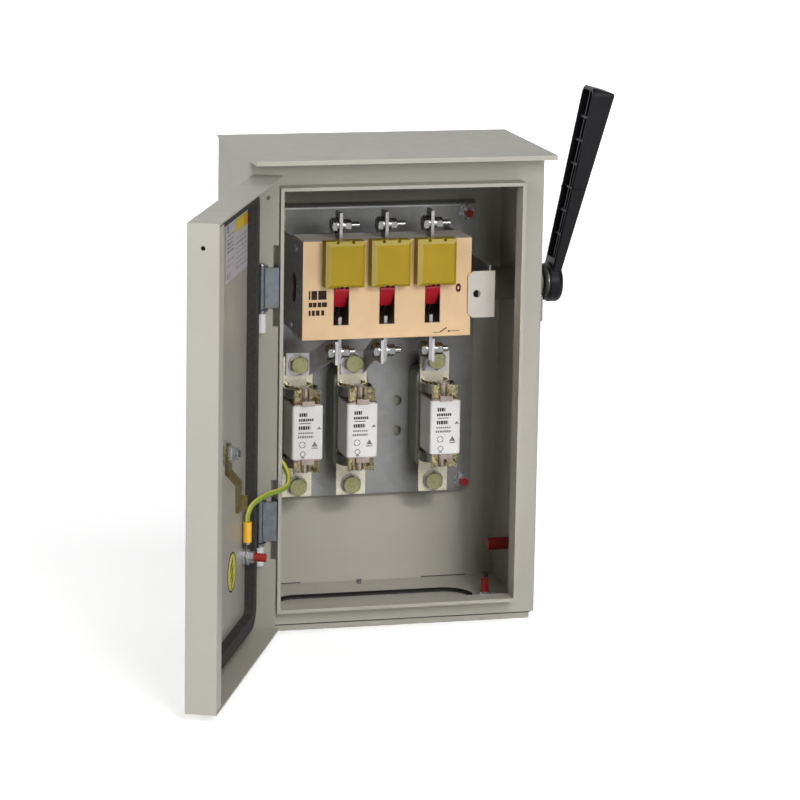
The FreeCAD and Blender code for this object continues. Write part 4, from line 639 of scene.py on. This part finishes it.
LABEL_X, LABEL_H = -0.0625, 0.3745
LABEL_WIDE, LABEL_HIGH, LABEL_THICK = 0.101, 0.057, 0.00025
LABEL_CORNER, LABEL_RIM = 0.002, 0.00114
STICKER_X, STICKER_H = -0.048, 0.078
STICKER_R, STICKER_RIM = 0.0185, 0.0017
STICKER_THICK, STICKER_PRINT = 0.00018, 0.0002


def label_plate():
    """The thin plate of the label, with round corners."""
    pick_none()
    bpy.ops.mesh.primitive_plane_add(size=1)
    piece = bpy.context.object
    piece.name = "door_label"
    piece.scale = (LABEL_WIDE, LABEL_HIGH, 1)
    bpy.ops.object.transform_apply(scale=True)
    bpy.ops.object.mode_set(mode="EDIT")
    bpy.ops.mesh.select_all(action="SELECT")
    bpy.ops.mesh.bevel(offset=LABEL_CORNER, segments=8, affect="VERTICES")
    bpy.ops.mesh.inset(thickness=LABEL_RIM)
    bpy.ops.mesh.extrude_region_move(TRANSFORM_OT_translate={"value": (0, 0, LABEL_THICK)})
    bpy.ops.mesh.select_all(action="SELECT")
    bpy.ops.mesh.normals_make_consistent(inside=False)
    bpy.ops.object.mode_set(mode="OBJECT")
    piece.data.materials.append(satin_label())
    piece.matrix_world = facing_inside(LABEL_X, DOOR_INNER, LABEL_H)
    settle(piece)
    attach(piece, "door")


def add_label():
    label_plate()
    yellow = print_ink("yellow_print", (0.55, 0.40, 0.04))
    pale = print_ink("pale_grey_print", (0.20, 0.20, 0.22))
    faint = print_ink("faint_print", (0.29, 0.28, 0.31))
    orange = print_ink("orange_print", (0.50, 0.25, 0.02))
    printed("label_print", "door", 101, 57, 1.0, label_marks(), (yellow, pale, faint, orange),
            facing_inside(LABEL_X, DOOR_INNER + LABEL_THICK, LABEL_H))


def sticker_disc(line):
    """The yellow disc inside its dark line."""
    pick_none()
    bpy.ops.mesh.primitive_circle_add(vertices=64, radius=STICKER_R, fill_type="NGON")
    piece = bpy.context.object
    piece.name = "earth_point_sticker"
    piece.data.materials.append(line)
    piece.data.materials.append(print_ink("sticker_yellow", (0.52, 0.50, 0.10)))
    bpy.ops.object.mode_set(mode="EDIT")
    bpy.ops.mesh.select_mode(type="FACE")
    bpy.ops.mesh.select_all(action="SELECT")
    bpy.ops.mesh.extrude_region_move(TRANSFORM_OT_translate={"value": (0, 0, STICKER_THICK)})
    bpy.ops.mesh.inset(thickness=STICKER_RIM)
    bpy.ops.object.mode_set(mode="OBJECT")
    for face in piece.data.polygons:
        face.material_index = 1 if face.select else 0
    piece.matrix_world = facing_inside(STICKER_X, DOOR_INNER, STICKER_H)
    settle(piece)
    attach(piece, "door")


def add_sticker():
    line = print_ink("sticker_line", (0.018, 0.014, 0.010))
    sticker_disc(line)
    printed("sticker_print", "door", 18, 36, 0.5, STICKER_STROKES, (line,),
            facing_inside(STICKER_X, DOOR_INNER + STICKER_PRINT, STICKER_H))


# Pieces that are skinned over rings of places

def skinned(name, rings, materials):
    """A closed piece over rings of places, its long faces first and its two ends last."""
    shape = bmesh.new()
    loops = [[shape.verts.new(place) for place in ring] for ring in rings]
    for one, two in zip(loops, loops[1:]):
        for k, corner in enumerate(one):
            after = (k + 1) % len(one)
            shape.faces.new((corner, one[after], two[after], two[k]))
    shape.faces.new(loops[0][::-1])
    shape.faces.new(loops[-1])
    bmesh.ops.recalc_face_normals(shape, faces=shape.faces)
    mesh = bpy.data.meshes.new(name)
    shape.to_mesh(mesh)
    shape.free()
    for material in materials:
        mesh.materials.append(material)
    piece = bpy.data.objects.new(name, mesh)
    bpy.context.collection.objects.link(piece)
    return piece


# A near-black strip on the rear edge of the cable opening in the floor: painted shade along that
# edge

OPENING_HALF, OPENING_Y, OPENING_CORNER = 0.098, -0.072, 0.027
STRIP_HIGH = 0.0023
STRIP_NEAR, STRIP_FAR = 0.0001, 0.0018


def opening_edge():
    """Places along the rear half of the opening, each with its way inward."""
    turns = [math.pi - math.pi / 2 * i / 16 for i in range(17)]
    left = [(OPENING_CORNER - OPENING_HALF, math.cos(t), math.sin(t)) for t in turns]
    right = [(OPENING_HALF - OPENING_CORNER, -c, s) for _, c, s in reversed(left)]
    return [(Vector((x + OPENING_CORNER * c, OPENING_Y + OPENING_CORNER * s, 0)),
             Vector((-c, -s, 0))) for x, c, s in left + right]


def add_opening_shade_strip():
    low, high = FLOOR, FLOOR + STRIP_HIGH
    corners = ((STRIP_NEAR, low), (STRIP_FAR, low), (STRIP_FAR, high), (STRIP_NEAR, high))
    rings = [[place + inward * away + Vector((0, 0, z)) for away, z in corners]
             for place, inward in opening_edge()]
    # Near-black ink for the painted shade along the rear edge of the opening
    shade_ink = print_ink("opening_shade_ink", (0.010, 0.008, 0.007))
    strip = skinned("opening_shade_strip", rings, (shade_ink,))
    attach(strip, "enclosure")


# Earth wire

WIRE_R = 0.0024
WIRE_SIDES = 20
ROUTE = (
    (-0.15077, -0.19052, -0.1067), (-0.15077, -0.19052, -0.1027), (-0.14996, -0.19, -0.09882),
    (-0.14838, -0.18898, -0.09529), (-0.14613, -0.18754, -0.09231), (-0.14335, -0.18575, -0.09008),
    (-0.13697, -0.18172, -0.0873), (-0.1275, -0.173, -0.0856), (-0.1165, -0.167, -0.0848),
    (-0.1073, -0.1585, -0.0838), (-0.1023, -0.1475, -0.0811), (-0.1005, -0.1355, -0.0755),
    (-0.104, -0.125, -0.067), (-0.113, -0.1185, -0.059), (-0.1235, -0.1115, -0.054),
    (-0.1305, -0.1026, -0.0523), (-0.1341, -0.0936, -0.052), (-0.1341, -0.0846, -0.052))


def wire_line():
    """The middle of the wire: a smooth line led by the points of the route."""
    curve = bpy.data.curves.new("earth_wire_line", "CURVE")
    curve.dimensions = "3D"
    curve.resolution_u = 10
    line = curve.splines.new("NURBS")
    line.points.add(len(ROUTE) - 1)
    for point, place in zip(line.points, ROUTE):
        point.co = (*place, 1)
    line.order_u = 3
    line.use_endpoint_u = True
    holder = bpy.data.objects.new("earth_wire_line", curve)
    bpy.context.collection.objects.link(holder)
    mesh = bpy.data.meshes.new_from_object(holder)
    places = [v.co.copy() for v in mesh.vertices]
    bpy.data.objects.remove(holder)
    bpy.data.meshes.remove(mesh)
    return places


def wire_rings(places):
    """Circles round the line, each turned as little as can be from the one before."""
    side = Vector((0, 1, 0))
    turns = [2 * math.pi * k / WIRE_SIDES for k in range(WIRE_SIDES)]
    rings = []
    for i, place in enumerate(places):
        ahead = places[min(i + 1, len(places) - 1)] - places[max(i - 1, 0)]
        ahead.normalize()
        side = (side - ahead * side.dot(ahead)).normalized()
        up = ahead.cross(side)
        rings.append([place + (side * math.cos(t) + up * math.sin(t)) * WIRE_R for t in turns])
    return rings


def add_earth_wire():
    """The green jacket with its two yellow stripes, in place of the plain wire."""
    green = moulded_plastic("wire_green", (0.20, 0.31, 0.03), 0.38)
    yellow = moulded_plastic("wire_yellow", (0.58, 0.53, 0.08), 0.38)
    wire = skinned("earth_wire_jacket", wire_rings(wire_line()), (green, yellow))
    for face in wire.data.polygons[:-2]:
        in_stripe = (face.index % WIRE_SIDES + 4) % 10 < 3
        face.material_index = 1 if in_stripe else 0
        face.use_smooth = True
    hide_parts("earth_wire")
    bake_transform(wire)


set_camera()
set_sky()
set_lights()
add_studio_floor()
finish_metals()
finish_mouldings()
add_fuse_prints()
add_cover_prints()
add_label()
add_sticker()
add_opening_shade_strip()
add_floor_seams()
add_earth_wire()
